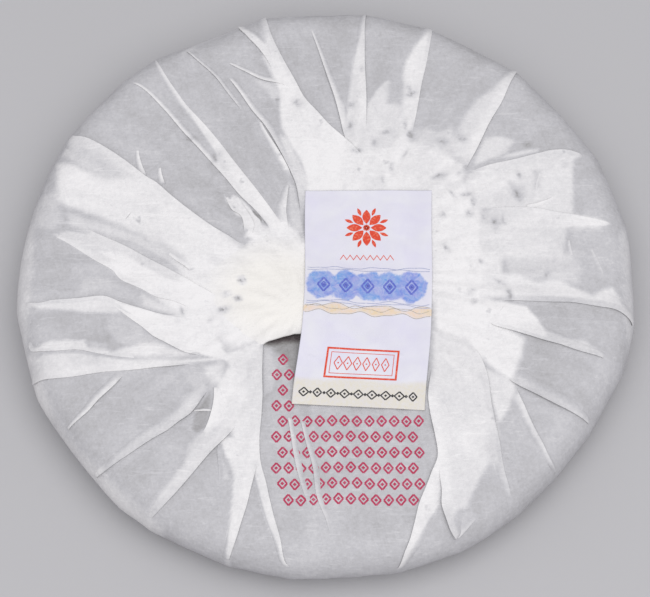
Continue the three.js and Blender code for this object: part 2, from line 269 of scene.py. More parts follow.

# %% [markdown]
# ## How many layers of paper, with painted light and shade
# One layer of tissue over dark tea looks cool grey. Where pleats pile up, towards the middle, the
# paper hides the tea and turns white. So each vertex carries a number, layers, that is 0 on a
# single sheet and 1 where the paper is thick. The same number also holds painted shading: below 0
# it is painted shade, in the hollow under the bunched end, in the gaps under folds and beside some
# folds, and stretches of the rim are set paler or darker as painted light and shade. It could be
# painted by hand, but written down it stays exact and can be changed. It comes from a list of
# fields laid over each other in order, each an outline in plan millimetres with the value inside it
# and the distance over which its edge fades inwards. Crumbs of tea are taken off last.

# %% Fields of doubled paper, and of painted light and shade
SINGLE_SHEET = -0.08
LAYERS_AND_PAINTED_SHADING_FIELDS = [
    # painted light: the left rim made paler than the single sheet
    (0.40, 2.5, [(-104, -34), (-104, 34), (-94, 34), (-93.5, 0), (-95, -34)]),
    # painted light and painted shade on the rim: paler stretches, darker at lower right and far side
    (-0.02, 5.0, [(-30, -106), (30, -106), (40, -88), (0, -84), (-26, -86)]),
    (0.10, 4.0, [(78, 18.5), (97, 14), (104, 6), (104, -12), (98, -16), (92, -6), (80, -2), (77, 4)]),
    (0.70, 5.0, [(-104, -22), (-92, -25), (-88, -38), (-83, -49), (-76, -58), (-68, -67), (-58, -77),
        (-48, -85), (-52, -98), (-74, -92), (-92, -72), (-106, -44)]),
    (0.30, 2.4, [(104, -30), (96, -28), (94, -14), (95, 0), (94, 14), (98, 20), (106, 0)]),
    (0.28, 2.2, [(-50, 82), (-44, 89), (-36, 95), (-22, 101), (-22, 95), (-34, 89), (-42, 84),
        (-48, 79)]),
    (0.45, 2.5, [(-96, 30), (-92, 42), (-86, 51), (-80, 60), (-90, 62), (-102, 40)]),
    (-0.45, 2.4, [(60, -94), (72, -84), (84, -72), (93, -58), (98, -42), (93, -42), (88, -54),
        (80, -66), (69, -77.5), (58, -86)]),
    (-0.16, 4.0, [(-12, 108), (-9, 90), (12, 88), (30, 88), (42, 85), (54, 74), (66, 82), (48, 102),
        (20, 110)]),
    # left: pale patch, the broad pleat's two tones, and the band below its groove
    (0.28, 3.0, [(-97, 30), (-87, 31), (-86, 25), (-84, 18), (-88, 13), (-98, 16)]),
    (0.48, 2.5, [(-85, 23), (-80, 21.5), (-70, 18), (-60, 14), (-50, 8), (-42, 1), (-46, -4), (-60, 5),
        (-70, 10), (-80, 14), (-85, 16)]),
    (0.36, 1.6, [(-85, 51.5), (-79, 48.8), (-74, 46), (-68, 42), (-63, 38.7), (-59, 35.4), (-64, 31),
        (-72, 33), (-80, 37), (-88, 43)]),
    (0.86, 3.2, [(-90, 42.6), (-84, 40.8), (-78, 38.2), (-72, 35.4), (-66, 35.8), (-58.6, 35.4),
        (-55, 32.6), (-50, 28), (-43, 22), (-37, 17.2), (-32, 13.2), (-27, 10.4), (-18, 9), (-12, 0),
        (-30, -4), (-45, 1), (-52, 7), (-60, 11.8), (-68, 15.4), (-76, 18.8), (-84, 21.8), (-89, 25),
        (-90, 35)]),
    (0.10, 1.1, [(-79, 17.2), (-70, 13.8), (-61, 10.6), (-52, 5.2), (-44, -1.2), (-44.4, -3.2),
        (-53.5, 1.6), (-61, 6), (-69, 10.2), (-77, 14.2)]),
    (0.52, 1.2, [(-89.5, 13), (-84, 15.2), (-78, 14.4), (-70, 10.2), (-62, 6), (-60, -5), (-66, -3),
        (-69.2, 0.4), (-74.3, 3.4), (-80, 7.4), (-88, 12)]),
    (0.42, 1.5, [(-75, 12.4), (-66, 8.6), (-60, 5.4), (-57, 1.4), (-64, 4), (-73, 8.4)]),
    (0.90, 2.6, [(-74, 8), (-66, 8), (-58, 3.4), (-50, -1), (-44, -3.6), (-34, -8), (-28, -14),
        (-36, -22), (-48, -16), (-55, -10.5), (-60, -6), (-66, -3.4), (-71, 1.2)]),
    (0.20, 1.2, [(-57, 3.4), (-48, 1), (-41, -2), (-42, -4.6), (-50, -2.2), (-57, 0.4)]),
    # painted shade: a dark band along the fold just below the middle line
    (-0.35, 2.0, [(-94, -8.4), (-84, -8), (-72, -7), (-66, -9), (-60, -11), (-57, -9.4), (-66, -5.6),
        (-74, -4.6), (-86, -5.4)]),
    (0.12, 2.5, [(-80, 1), (-70, -2), (-62, -6), (-56, -9), (-56, -14), (-66, -10.5), (-72, -8.6),
        (-80, -9)]),
    (0.62, 2.5, [(-60, -6), (-54, -9), (-46, -14), (-46, -17), (-53, -15.2), (-60, -13)]),
    # left, below: the pleat with two crisp edges and the two flat bands under it
    (0.72, 1.8, [(-97, -9.6), (-92, -10.9), (-88, -10.1), (-80, -9.4), (-71, -8.7), (-66, -11.5),
        (-66, -15.6), (-74, -15.4), (-84, -14.4), (-93, -13.8)]),
    (0.98, 0.8, [(-70.6, -9.2), (-66, -10.9), (-60, -12.9), (-53, -14.9), (-46, -15.9), (-36, -19),
        (-30, -32), (-40, -29.4), (-45, -27.7), (-50, -24.9), (-55, -21.9), (-60, -17.9), (-64, -14.9),
        (-68, -11.5)]),
    (0.22, 1.8, [(-69, -14), (-62, -17), (-53, -24), (-46, -28), (-57, -28), (-66, -26), (-72, -20)]),
    (0.78, 2.2, [(-58, -24), (-50, -25), (-45, -27.6), (-38, -30), (-48, -30.8), (-57, -31.2),
        (-69, -30), (-67, -26.4)]),
    (0.74, 1.4, [(-95, -26.4), (-88, -23.6), (-76, -23.4), (-76, -28.4), (-80, -27.9), (-88, -28.2),
        (-94, -28)]),
    (0.20, 0.8, [(-76, -24), (-70, -25), (-69, -29.4), (-76, -28.4)]),
    (0.55, 1.2, [(-97, -29), (-90, -28.4), (-80, -28), (-70, -29.6), (-70, -35.6), (-79, -36.7),
        (-86, -37.3), (-94, -36.8)]),
    (0.72, 1.0, [(-72, -29.4), (-60, -31), (-48, -31), (-38, -30), (-31, -29), (-33, -31.6), (-41, -32),
        (-50, -33.6), (-60, -34.6), (-72, -35.6)]),
    (0.15, 3.0, [(-47, -33), (-40, -32), (-36, -38), (-40, -43), (-46, -40)]),
    (0.62, 2.6, [(-40, -32.6), (-31, -30), (-32, -41), (-36.4, -40.2), (-39, -38)]),
    # lower left: pleats that come in from the near rim, the notch darkened as painted shade, the main
    # column
    (0.34, 2.6, [(-72, -68.8), (-64.5, -65.4), (-60, -62), (-55, -58.4), (-50, -55.2), (-46.5, -52.4),
        (-42, -49.4), (-43, -44.6), (-50, -49.4), (-55, -53.4), (-60, -57), (-66, -63)]),
    (0.30, 2.0, [(-43, -49.8), (-36.5, -40.3), (-39, -38), (-46, -44), (-48, -50)]),
    # painted shade in the notch
    (-0.60, 0.9, [(-36.6, -41), (-36, -45), (-37, -52), (-38.6, -57), (-42.6, -55), (-42, -50)]),
    (0.48, 2.4, [(-56, -84), (-48, -77.6), (-40, -67.6), (-33.4, -59.8), (-28, -54), (-34, -50),
        (-40, -54.6), (-44, -60), (-45.4, -66), (-51, -74), (-56, -80)]),
    (0.78, 1.5, [(-34, -29), (-20, -24), (-19.9, -45), (-20.8, -58), (-20.4, -66), (-18.9, -72.6),
        (-22.4, -70.4), (-24, -74.8), (-26.4, -70), (-28, -61), (-31, -55), (-35.4, -54.6),
        (-37.2, -53), (-35.6, -46), (-35, -40), (-31.5, -33)]),
    (0.72, 1.0, [(-22.4, -70.4), (-24, -74.6), (-26.6, -84.2), (-27.9, -90.6), (-30.2, -98), (-32, -99),
        (-31, -92), (-30.2, -85), (-29.6, -78), (-29.4, -71), (-27, -64)]),
    (0.56, 2.0, [(-26.6, -31), (-20, -26), (-20, -60), (-24, -58), (-25.6, -44)]),
    (0.78, 1.2, [(-33.4, -57), (-33.2, -61.6), (-30.6, -66), (-29.2, -71), (-25, -71), (-23.5, -66),
        (-24, -57)]),
    (0.22, 1.0, [(-33.4, -63), (-32.6, -72), (-30, -73), (-30, -70), (-31.6, -66.4)]),
    (0.76, 1.0, [(-23, -68.6), (-18.7, -72.4), (-17.5, -78), (-15.9, -85), (-13.9, -92), (-12.4, -97.6),
        (-15, -94), (-18, -88), (-20.4, -80)]),
    # painted shadow in the hollow under the bunched end, and the loose fold beside it
    (-0.70, 2.2, [(-20.4, -25.6), (-14, -22), (-6, -20), (-6, -32), (-8, -42), (-11, -39),
        (-14.4, -31)]),
    (0.22, 1.0, [(-20.2, -26), (-16.4, -30), (-15, -36), (-16.6, -42), (-20, -44)]),
    (-1.90, 2.4, [(-22, -27), (-19, -22), (-6, -16), (-5, -27), (-9, -26), (-13, -26), (-17, -27)]),
    # lower right: the wide pleat beside the printed panel, in three tones, and its neighbours
    (0.62, 2.0, [(33.4, -20), (45, -22), (49.4, -32), (51.8, -44), (52.4, -50), (46, -52),
        (32.6, -48)]),
    (0.74, 2.4, [(32.8, -45), (46, -44), (53.4, -48), (55.6, -56), (54.4, -63), (50.2, -69.5),
        (47, -76), (44.5, -82), (37.4, -84), (36, -76), (35.2, -66), (34.4, -58)]),
    (0.58, 2.0, [(36.2, -76), (44, -76), (42, -82), (39.4, -86), (37.2, -85)]),
    (0.10, 2.5, [(40, -82), (47, -80), (48, -85), (43, -89), (40, -88)]),
    (0.72, 1.0, [(35.2, -62), (32.8, -69.6), (30.7, -75), (28.9, -80), (27.5, -86), (25.9, -91),
        (23.9, -95), (21.6, -98.6), (26, -96), (29, -91), (31.6, -86.6), (35, -81.6), (36.2, -75)]),
    (0.46, 3.0, [(51, -50), (55, -56), (57, -68), (52, -70), (48.6, -64)]),
    (0.70, 1.8, [(48.8, -32), (60.6, -38), (60.6, -42.4), (58.6, -47.4), (55.4, -53), (53.6, -53.6),
        (51.6, -46), (50.2, -39)]),
    (0.95, 2.6, [(33, -8), (54, -8), (57, -18), (61, -20.6), (64.8, -22.6), (63.4, -30), (61.2, -36),
        (60, -40), (54, -36.6), (48.6, -32), (43.6, -25), (34, -22)]),
    # painted shade beside the lower right pleat's fold
    (-0.20, 4.0, [(66, -25), (88, -31), (86, -46), (82, -50), (68, -42), (64, -38)]),
    (0.95, 1.4, [(49, -15), (53.5, -18.9), (60, -21), (66, -23.1), (73, -25.3), (71.4, -21.4),
        (68, -16), (64.6, -11.5), (55, -9.6), (47, -10)]),
    (0.42, 1.4, [(69, -18.6), (72, -20.8), (77, -22.8), (83, -23.8), (88, -27.6), (90, -31),
        (85, -29.5), (80, -27.9), (75, -26.1), (70, -24.7)]),
    # painted shadow: a dark wedge below the fold right of the middle
    (-0.16, 1.5, [(70, -10.6), (76, -10.8), (83, -11.2), (91, -12.6), (88, -15.8), (80, -15.8),
        (75, -14.8)]),
    # right: pale squares between the folds
    (0.36, 2.6, [(56, 8), (80, 8), (84, 2), (82, -5), (70, -4), (58, -4)]),
    (0.60, 1.8, [(49, 3), (58, 3.4), (66, 4.2), (77.4, 3.8), (79.4, 18), (58, 18), (49, 19)]),
    (0.30, 1.2, [(79, 18), (91, 17), (90, 14.6), (79, 14)]),
    (0.84, 2.0, [(48, -3), (58, -2), (57.6, 7), (48, 7.6)]),
    (0.90, 2.6, [(32, 31), (32, -12), (52.4, -12), (52.4, 0), (51.4, 10), (52, 22), (50.4, 28),
        (45, 34), (37, 37)]),
    (0.46, 0.8, [(51.2, 17), (58, 17.2), (57.6, 22.9), (51, 22.7)]),
    (0.74, 2.0, [(48, -10), (60, -10), (68, -9.9), (75, -10.3), (80, -10.7), (88, -11.8), (93, -12.8),
        (98, -15.2), (96, -9), (92.6, -4.4), (89, -5.4), (86, -7.4), (80.6, -4.6), (74, -1.8),
        (68, -2.4), (62, 0), (50, 1)]),
    (0.72, 0.8, [(93.5, 17.9), (88.5, 19.6), (83, 20.8), (76, 22), (68, 23.4), (60, 23.3), (57.8, 22),
        (58, 15.6), (68, 15.4), (78, 15.6), (91, 16.2)]),
    (0.66, 1.4, [(84, 42), (79, 44.3), (75, 44.3), (70, 43.1), (62, 40.9), (54, 38.8), (46.2, 36),
        (44, 30), (50, 22), (58, 22), (66, 22), (81, 19.6), (81.4, 28), (81.6, 36), (82, 40)]),
    (0.84, 3.0, [(46, 34), (60, 39), (70, 41), (74, 38), (64, 33), (56, 28), (48, 26)]),
    (0.32, 2.8, [(58, 34.5), (66.5, 32), (66, 25), (59.5, 26)]),
    (0.20, 2.0, [(66.6, 29), (70.4, 29), (71.8, 37.4), (67.4, 38)]),
    (0.30, 1.5, [(60.8, 25.2), (65.6, 25.8), (65.6, 31), (61, 30.6)]),
    # upper right
    (0.50, 1.5, [(52.2, 49.6), (58, 50.2), (63, 48), (60, 42.6), (53, 40), (48.4, 37.6), (48.2, 40.6),
        (50.2, 45)]),
    (0.66, 1.2, [(54, 40.6), (60, 43.4), (66, 45), (72, 45.6), (70, 43.4), (62, 41.2)]),
    (0.42, 3.0, [(28.6, 53), (33, 54.6), (37, 52.4), (42, 55), (45, 48), (42, 42), (35, 40), (27, 43)]),
    (0.80, 3.4, [(7, 53), (13, 56), (20, 51), (26, 51), (31, 48), (36, 46.6), (41, 44.6), (47, 39.4),
        (47, 28), (0, 26), (-9, 27), (-8, 40)]),
    (0.50, 2.8, [(64.4, 78), (62, 71), (59, 63.5), (55, 56), (52, 49), (49.8, 44.3), (46.6, 39),
        (41, 41), (39.6, 48), (43, 54), (46, 59.6), (49, 64), (54, 68), (59, 72)]),
    (0.80, 1.7, [(36.2, 95), (35.5, 87), (33.6, 77), (32, 69), (30.8, 62), (29.3, 54), (28, 48),
        (23, 43), (21, 52), (23, 60), (25, 66), (24.6, 72), (26, 78), (29, 84), (33.4, 90)]),
    (0.62, 1.0, [(13.6, 62), (16.5, 67.2), (20.4, 71.4), (23.6, 70), (27, 67), (25, 52), (22, 45),
        (9, 43), (11, 52)]),
    (-0.05, 2.4, [(18.8, 60.6), (26, 60), (27, 68), (26, 77), (20.5, 77)]),
    (0.64, 1.2, [(13.3, 96), (13, 85), (13.1, 75), (13.5, 62), (13.3, 48), (6.6, 46), (6, 54),
        (6.6, 62), (7.6, 70), (8.6, 78), (10, 84), (12, 91)]),
    (0.34, 1.2, [(2.4, 66), (6.8, 62), (7, 54), (7.6, 46), (5.8, 51), (4.6, 57)]),
    # top left: the forked pleat
    (0.34, 1.5, [(-26, 73), (-17, 69.6), (-15, 66), (-16.6, 60), (-20, 65)]),
    (0.62, 1.0, [(-29.8, 97), (-30.6, 93), (-27.4, 87.6), (-22.4, 81.6), (-18, 77), (-17.4, 82.6),
        (-20.6, 85.4), (-25, 90), (-28.4, 93.4)]),
    (0.72, 1.3, [(-20.8, 100), (-19.6, 92), (-17.2, 85), (-14, 78), (-18, 72), (-22, 79), (-20.6, 87)]),
    (0.58, 1.2, [(-16.5, 51), (-13, 50), (-8.6, 41), (-4.6, 31), (-9.4, 29), (-13.4, 42)]),
    (0.90, 1.7, [(-16.8, 84), (-14, 78), (-10, 70), (-7, 64), (-3, 59), (1.5, 53.5), (6, 49),
        (11, 43.5), (15, 39), (12, 28), (-5, 27), (-7, 35), (-9.6, 41), (-13, 47), (-15.6, 53),
        (-16.2, 60), (-16.4, 66), (-18.2, 71), (-20.4, 77)]),
    # upper left: the long strip and its two edges
    (0.66, 1.0, [(-57, 80), (-54, 73.6), (-50, 67), (-46, 61), (-40, 53.8), (-35, 47), (-30, 40),
        (-25, 33), (-20, 26), (-16, 20), (-9, 10), (-16, 12), (-20, 18), (-24, 23), (-28.5, 28),
        (-33, 34), (-36.6, 38.6), (-36.6, 43), (-41, 50), (-45, 57), (-51, 66)]),
    (0.92, 2.6, [(-32, 42), (-25, 33), (-20, 26), (-16, 20), (-9, 10), (-16, 12), (-20, 18), (-24, 23),
        (-28.5, 28), (-34, 35)]),
    # the crushed end of a pleat, and what leads from it to the slip
    (0.34, 1.4, [(-13, 34), (-9.8, 31), (-8, 24), (-6.8, 14), (-11, 13), (-12.4, 22)]),
    (0.82, 0.9, [(-33.6, 28.4), (-31.6, 26.8), (-30, 28), (-27.4, 26.6), (-24.6, 23.4), (-20.6, 18.6),
        (-20, 12), (-27, 12), (-25.8, 15), (-27.6, 16.8), (-27, 19), (-30.4, 20.6), (-30, 23),
        (-33, 25)]),
    (0.86, 1.6, [(-25, 19), (-19, 17), (-13, 20), (-8, 14), (-6, 8), (-16, 7), (-28, 7), (-25, 12.5)]),
    # painted shadow: a thin dark line beside the crushed end
    (-1.00, 0.4, [(-24.6, 23), (-23.2, 22), (-18.8, 17), (-19.6, 16.8), (-23.8, 20.8)]),
    # the middle
    (0.94, 6.0, [(-48, 5), (-38, 12), (-28, 9), (-16, 9), (-16, -24), (-32, -29), (-46, -22),
        (-56, -10)]),
    (1.00, 5.0, [(-5, 13), (-16, 11), (-26, 6), (-34, -4), (-36, -16), (-32, -30), (-20, -27),
        (-12, -21), (0, -19), (6, -10), (6, 10)]),
]
print("paper fields:", len(LAYERS_AND_PAINTED_SHADING_FIELDS))

# %% [markdown]
# Crumbs of tea show dark through the white paper. Each has its place and size in mm, and is drawn
# out at random, because broken leaf is long and thin.

# %% Crumbs
CRUMBS = [
    (56, -3.5, 1.0), (46.5, -7, 1.1), (59, -8, 1.3), (71, -1, 1.0), (43, -6.5, 0.8),
    (47.5, -10.5, 0.9), (-27, -3.5, 1.2), (-31.5, -7.5, 1.0), (-28, -9.5, 1.0), (-33, -13.5, 1.3),
    (-37, -17, 0.9), (-46, -14, 1.0), (-43, 1, 0.8), (-57, 22, 0.8), (-36, 4.5, 1.2), (20, 51, 1.2),
    (27.5, 50, 1.1), (16, 47, 1.1), (10, 44, 1.1), (36.5, 35, 1.0), (38.5, 35, 1.0), (21.5, 38, 1.1),
    (18.5, 33.5, 0.9), (6, 30.5, 0.8), (38.5, 47.5, 1.4), (44.8, 49, 1.5), (8, 53.5, 1.2),
    (43.4, 36, 1.2), (46, 38, 1.1), (-9.5, 62, 1.5), (8.4, 61.5, 1.2), (45.6, 28, 1.0), (48, 25, 1.1),
    (46.6, 21, 1.4), (38, 20.5, 0.9), (41.5, 28, 0.8), (63.5, 35, 1.0), (78.5, 38.5, 1.0),
    (62.6, 27.5, 1.3), (12, 75, 0.8), (28, 67, 1.1), (26.4, 53.6, 1.1), (28.5, 65.6, 1.2),
    (66.4, 46.5, 1.2), (-44.3, 48.6, 1.0), (-36, 41.6, 1.5), (-16, 63.5, 0.8), (26, 43, 0.9),
    (50.5, -31, 0.9), (50, 4, 0.8), (39, 8.5, 0.9), (55, 17.4, 1.4),
]
CRUMB_SHADE = 0.80
CRUMB_SCALE = 0.95
crumb_draw = np.random.default_rng(17)
CRUMB_TURNS = crumb_draw.uniform(0, np.pi, len(CRUMBS))
CRUMB_STRETCH = crumb_draw.uniform(1.0, 2.2, len(CRUMBS))
CRUMB_DARKNESS = CRUMB_SHADE * crumb_draw.uniform(0.6, 1.4, len(CRUMBS))
print("crumbs:", len(CRUMBS), "darkest:", CRUMB_DARKNESS.max().round(2))

# %% Layers and crumbs at a place
def depth_inside(x, y, outline):
    """Distance to the nearest side of an outline for points inside it (even-odd rule), else 0."""
    corners = np.asarray(outline, float)
    inside = np.zeros(x.shape, bool)
    nearest = np.full(x.shape, np.inf)
    for (x0, y0), (x1, y1) in zip(corners, np.roll(corners, -1, axis=0)):
        along_x, along_y = x1 - x0, y1 - y0
        share = ((x - x0) * along_x + (y - y0) * along_y) / (along_x ** 2 + along_y ** 2)
        share = np.clip(share, 0.0, 1.0)
        nearest = np.minimum(nearest, np.hypot(x - x0 - share * along_x, y - y0 - share * along_y))
        if y0 != y1:
            inside ^= ((y0 > y) != (y1 > y)) & (x < x0 + (y - y0) * along_x / along_y)
    return np.where(inside, nearest, 0.0)


def layers_and_painted_shading(x, y):
    """Lays each field over what is there: the new value's share rises with the depth inside."""
    layers = np.full(np.shape(x), SINGLE_SHEET)
    for value, fade, outline in LAYERS_AND_PAINTED_SHADING_FIELDS:
        share = smooth(depth_inside(x, y, outline) / fade)
        layers = layers + (value - layers) * share
    return layers


def crumb_shade(x, y):
    """How dark the crumbs make a place: an oval bell shape for each one."""
    total = 0.0 * x
    for crumb, turn, stretch, dark in zip(CRUMBS, CRUMB_TURNS, CRUMB_STRETCH, CRUMB_DARKNESS):
        crumb_x, crumb_y, size = crumb
        along = (x - crumb_x) * math.cos(turn) + (y - crumb_y) * math.sin(turn)
        aside = (y - crumb_y) * math.cos(turn) - (x - crumb_x) * math.sin(turn)
        away = ((along / stretch) ** 2 + (aside * stretch ** 0.5) ** 2) / (size * CRUMB_SCALE) ** 2
        total = total + dark * np.exp(-away)
    return total


example = layers_and_painted_shading(np.array([-20.0, 88.0]), np.array([0.0, 0.0]))
print("layers near the middle and near the rim:", example.round(2))

# %% [markdown]
# ## Materials
# Each material starts from what the real one is, and is named for it. Colours are sRGB hex, as that is
# what an eye reads off a screen, and one function turns them to the linear values Blender uses.
# Most of the patterns here are noise of a known grain in millimetres, of which one span is picked
# and stretched to the values that are wanted.

# %% Colour and node helpers
def linear(hex_colour):
    """sRGB hex to linear RGBA: each channel c becomes ((c + 0.055) / 1.055) to the power 2.4."""
    channels = [int(hex_colour[k:k + 2], 16) / 255 for k in (1, 3, 5)]
    return [c / 12.92 if c <= 0.04045 else ((c + 0.055) / 1.055) ** 2.4 for c in channels] + [1.0]


def add_node(material, kind, inputs=None, **settings):
    """Adds one node: settings are its own properties, inputs are values or links by socket."""
    node = material.node_tree.nodes.new(kind)
    for key, value in settings.items():
        setattr(node, key, value)
    for key, value in (inputs or {}).items():
        socket = node.inputs[key]
        if isinstance(value, bpy.types.NodeSocket):
            material.node_tree.links.new(value, socket)
        else:
            socket.default_value = value
    return node


def new_material(name):
    """An empty material, and the place on the piece that its patterns read."""
    material = bpy.data.materials.new(name)
    material.use_nodes = True
    material.node_tree.nodes.clear()
    return material, add_node(material, "ShaderNodeTexCoord").outputs["Object"]


def finish_material(material, inputs):
    """Ends a material: one surface shader with these inputs, and the output."""
    shader = add_node(material, "ShaderNodeBsdfPrincipled", inputs)
    add_node(material, "ShaderNodeOutputMaterial", {"Surface": shader.outputs["BSDF"]})
    print(material.name, "nodes:", len(material.node_tree.nodes))
    return material


def mottled(material, place, size, low=0.0, high=1.0, detail=3.0, roughness=0.5, bend=0.0,
            picked=(0.3, 0.7)):
    """Noise with a grain of size mm. What it gives over the picked span becomes low to high."""
    noise = add_node(material, "ShaderNodeTexNoise", {
        "Vector": place, "Scale": 1 / (size * MM), "Detail": detail, "Roughness": roughness,
        "Distortion": bend})
    return add_node(material, "ShaderNodeMapRange", {
        "Value": noise.outputs["Fac"], "From Min": picked[0], "From Max": picked[1],
        "To Min": low, "To Max": high}).outputs["Result"]


print("middle grey as linear values:", [round(value, 3) for value in linear("#808080")])

# %% [markdown]
# The wrapper is long-fibred tissue, soft and matt. It is thin, so what lies below shows: grey on
# one layer, white on many. Everything that varies its tone is added to the layers first: clouds,
# streaks drawn towards the middle, mottle, three crossing sets of fibres, bright pinched lines, and
# dust of the tea showing through as grey specks. Only then does the sum pick the colour, so all of
# it stays paper-like. Paper has an IOR near 1.45 and next to no gloss. The fibres are drawn wider
# than real ones, which are too fine to show.

# %% Tissue paper
CLOUD_SIZE, CLOUD_STRENGTH = 13.0, 0.12
STREAKS_ROUND, STREAK_LENGTH, STREAK_STRENGTH = 9.0, 26.0, 0.12
MOTTLE_SIZE, MOTTLE_STRENGTH = 1.5, 0.15
FIBRE_LENGTH, FIBRE_WIDTH, FIBRE_STRENGTH = 4.0, 0.5, 0.05
FIBRE_TURNS = (0.2, 1.3, 2.4)
PINCH_WIDTH, PINCH_STRENGTH = 0.9, 0.22
SPECK_SIZE = 4.2
CRUMB_BIT_SIZE = 1.5
CRUMPLE_HEIGHT = 0.07 * MM
# DARKEST and the first of TONES are the tones below a single sheet: crumbs showing through, and painted
# shade.
DARKEST = "#4c4244"
TONES = [(2.0, "#918f8e"), (1.0, "#c4c3c6"), (0.0, "#efeded")]
WARM_WHITE = "#f6f2e9"


def streaks(material, place):
    """Noise drawn out towards the middle: it reads the direction from the middle and the radius."""
    flat = add_node(material, "ShaderNodeVectorMath", {0: place, 1: (1.0, 1.0, 0.0)},
                    operation="MULTIPLY").outputs[0]
    radius = add_node(material, "ShaderNodeVectorMath", {0: flat}, operation="LENGTH")
    heading = add_node(material, "ShaderNodeVectorMath", {0: flat}, operation="NORMALIZE")
    wide = add_node(material, "ShaderNodeVectorMath", {0: heading.outputs[0], 3: STREAKS_ROUND},
                    operation="SCALE")
    deep = add_node(material, "ShaderNodeMath", {
        0: radius.outputs["Value"], 1: 1 / (STREAK_LENGTH * MM)}, operation="MULTIPLY")
    lifted = add_node(material, "ShaderNodeCombineXYZ", {"Z": deep.outputs[0]})
    read_at = add_node(material, "ShaderNodeVectorMath", {0: wide.outputs[0], 1: lifted.outputs[0]},
                       operation="ADD")
    return add_node(material, "ShaderNodeTexNoise", {
        "Vector": read_at.outputs[0], "Scale": 1.0, "Detail": 4.0, "Roughness": 0.6}).outputs["Fac"]


def tone_terms(material, place, radial):
    """What is added to the layers: streaks, clouds, mottle, three sets of fibres, pinched lines."""
    drawn_in = add_node(material, "ShaderNodeMapRange", {
        "Value": radial, "From Min": 0.3, "From Max": 0.7,
        "To Min": -STREAK_STRENGTH, "To Max": STREAK_STRENGTH}).outputs["Result"]
    terms = [drawn_in,
             mottled(material, place, CLOUD_SIZE, -CLOUD_STRENGTH, CLOUD_STRENGTH, roughness=0.55),
             mottled(material, place, MOTTLE_SIZE, -MOTTLE_STRENGTH, MOTTLE_STRENGTH, 4.0, 0.75)]
    for turn in FIBRE_TURNS:
        turned = add_node(material, "ShaderNodeVectorRotate", {"Vector": place, "Angle": turn})
        threads = add_node(material, "ShaderNodeVectorMath", {
            0: turned.outputs[0], 1: (1.0, FIBRE_LENGTH / FIBRE_WIDTH, 1.0)}, operation="MULTIPLY")
        terms.append(mottled(material, threads.outputs[0], FIBRE_LENGTH, -FIBRE_STRENGTH,
                             FIBRE_STRENGTH, detail=2.0, roughness=0.55, bend=0.8))
    pinched = add_node(material, "ShaderNodeVectorMath", {0: place, 1: (0.12, 1.0, 1.0)},
                       operation="MULTIPLY")
    return terms + [mottled(material, pinched.outputs[0], PINCH_WIDTH, 0.0, PINCH_STRENGTH,
                            detail=2.0, bend=0.8, picked=(0.60, 0.72))]


def crumpling(material, place, radial):
    """A fine bump: the streaks three times over, plus small, large and drawn-out crumples."""
    drawn_out = add_node(material, "ShaderNodeVectorMath", {0: place, 1: (0.3, 1.0, 1.0)},
                         operation="MULTIPLY").outputs[0]
    height = add_node(material, "ShaderNodeMath", {
        0: radial, 1: 3.0, 2: mottled(material, place, 0.8, 0.0, 0.8, 4.0, 0.55)},
        operation="MULTIPLY_ADD").outputs[0]
    for term in (mottled(material, place, 5.0, 0.0, 3.0, 5.0, 0.6),
                 mottled(material, drawn_out, 2.6, 0.0, 1.4, 3.0, 0.6, 1.5)):
        height = add_node(material, "ShaderNodeMath", {0: height, 1: term}, operation="ADD").outputs[0]
    return add_node(material, "ShaderNodeBump", {
        "Height": height, "Distance": CRUMPLE_HEIGHT, "Strength": 0.7}).outputs["Normal"]


def tissue_material():
    """Dark to grey to white by layers, less the specks and crumbs. In a Mix node for colours the
    share is socket 0, the colours are 6 and 7, and the output is 2."""
    material, place = new_material("long_fibre_tissue")
    layers, warmth, crumbs = (
        add_node(material, "ShaderNodeAttribute", attribute_name=name).outputs["Fac"]
        for name in ("layers", "warmth", "crumbs"))
    radial = streaks(material, place)
    tone = layers
    for term in tone_terms(material, place, radial):
        tone = add_node(material, "ShaderNodeMath", {0: tone, 1: term}, operation="ADD").outputs[0]
    dust = mottled(material, place, SPECK_SIZE, detail=2.5, roughness=0.6, picked=(0.68, 0.82))
    dust_share = add_node(material, "ShaderNodeMapRange", {
        "Value": layers, "From Min": 0.0, "From Max": 0.8, "To Min": 0.2, "To Max": 0.9})
    bits = mottled(material, place, CRUMB_BIT_SIZE, 0.5, 1.5, picked=(0.42, 0.60))
    for first, second in ((dust, dust_share.outputs["Result"]), (crumbs, bits)):
        loss = add_node(material, "ShaderNodeMath", {0: first, 1: second}, operation="MULTIPLY")
        tone = add_node(material, "ShaderNodeMath", {0: tone, 1: loss.outputs[0]},
                        operation="SUBTRACT").outputs[0]
    colour = linear(DARKEST)
    for rise, lighter in TONES:
        share = add_node(material, "ShaderNodeMath", {0: tone, 1: rise}, operation="ADD").outputs[0]
        colour = add_node(material, "ShaderNodeMix", {0: share, 6: colour, 7: linear(lighter)},
                          data_type="RGBA").outputs[2]
    colour = add_node(material, "ShaderNodeMix", {0: warmth, 6: colour, 7: linear(WARM_WHITE)},
                      data_type="RGBA").outputs[2]
    return finish_material(material, {
        "Base Color": colour, "Normal": crumpling(material, place, radial), "Roughness": 0.8,
        "IOR": 1.45, "Specular IOR Level": 0.25})


tissue = tissue_material()

# %% [markdown]
# ## The sheet itself
# The bottom layer is the whole wrapper without its flaps: a surface of revolution whose profile
# runs from the middle of the top, over the shoulder and the rim, to the middle of the underside.
# It could be a spun curve, but a grid of reach by bearing lets the unevenness and the rim's flats
# go in as whole arrays. The two poles are closed with a fan of triangles.

# %% Wrapper sheet
ROUND_STEPS = 640
FIELD_END = 3.0
TOP_RINGS, SHOULDER_RINGS, TURN_RINGS, UNDER_RINGS = 94, 14, 10, 8


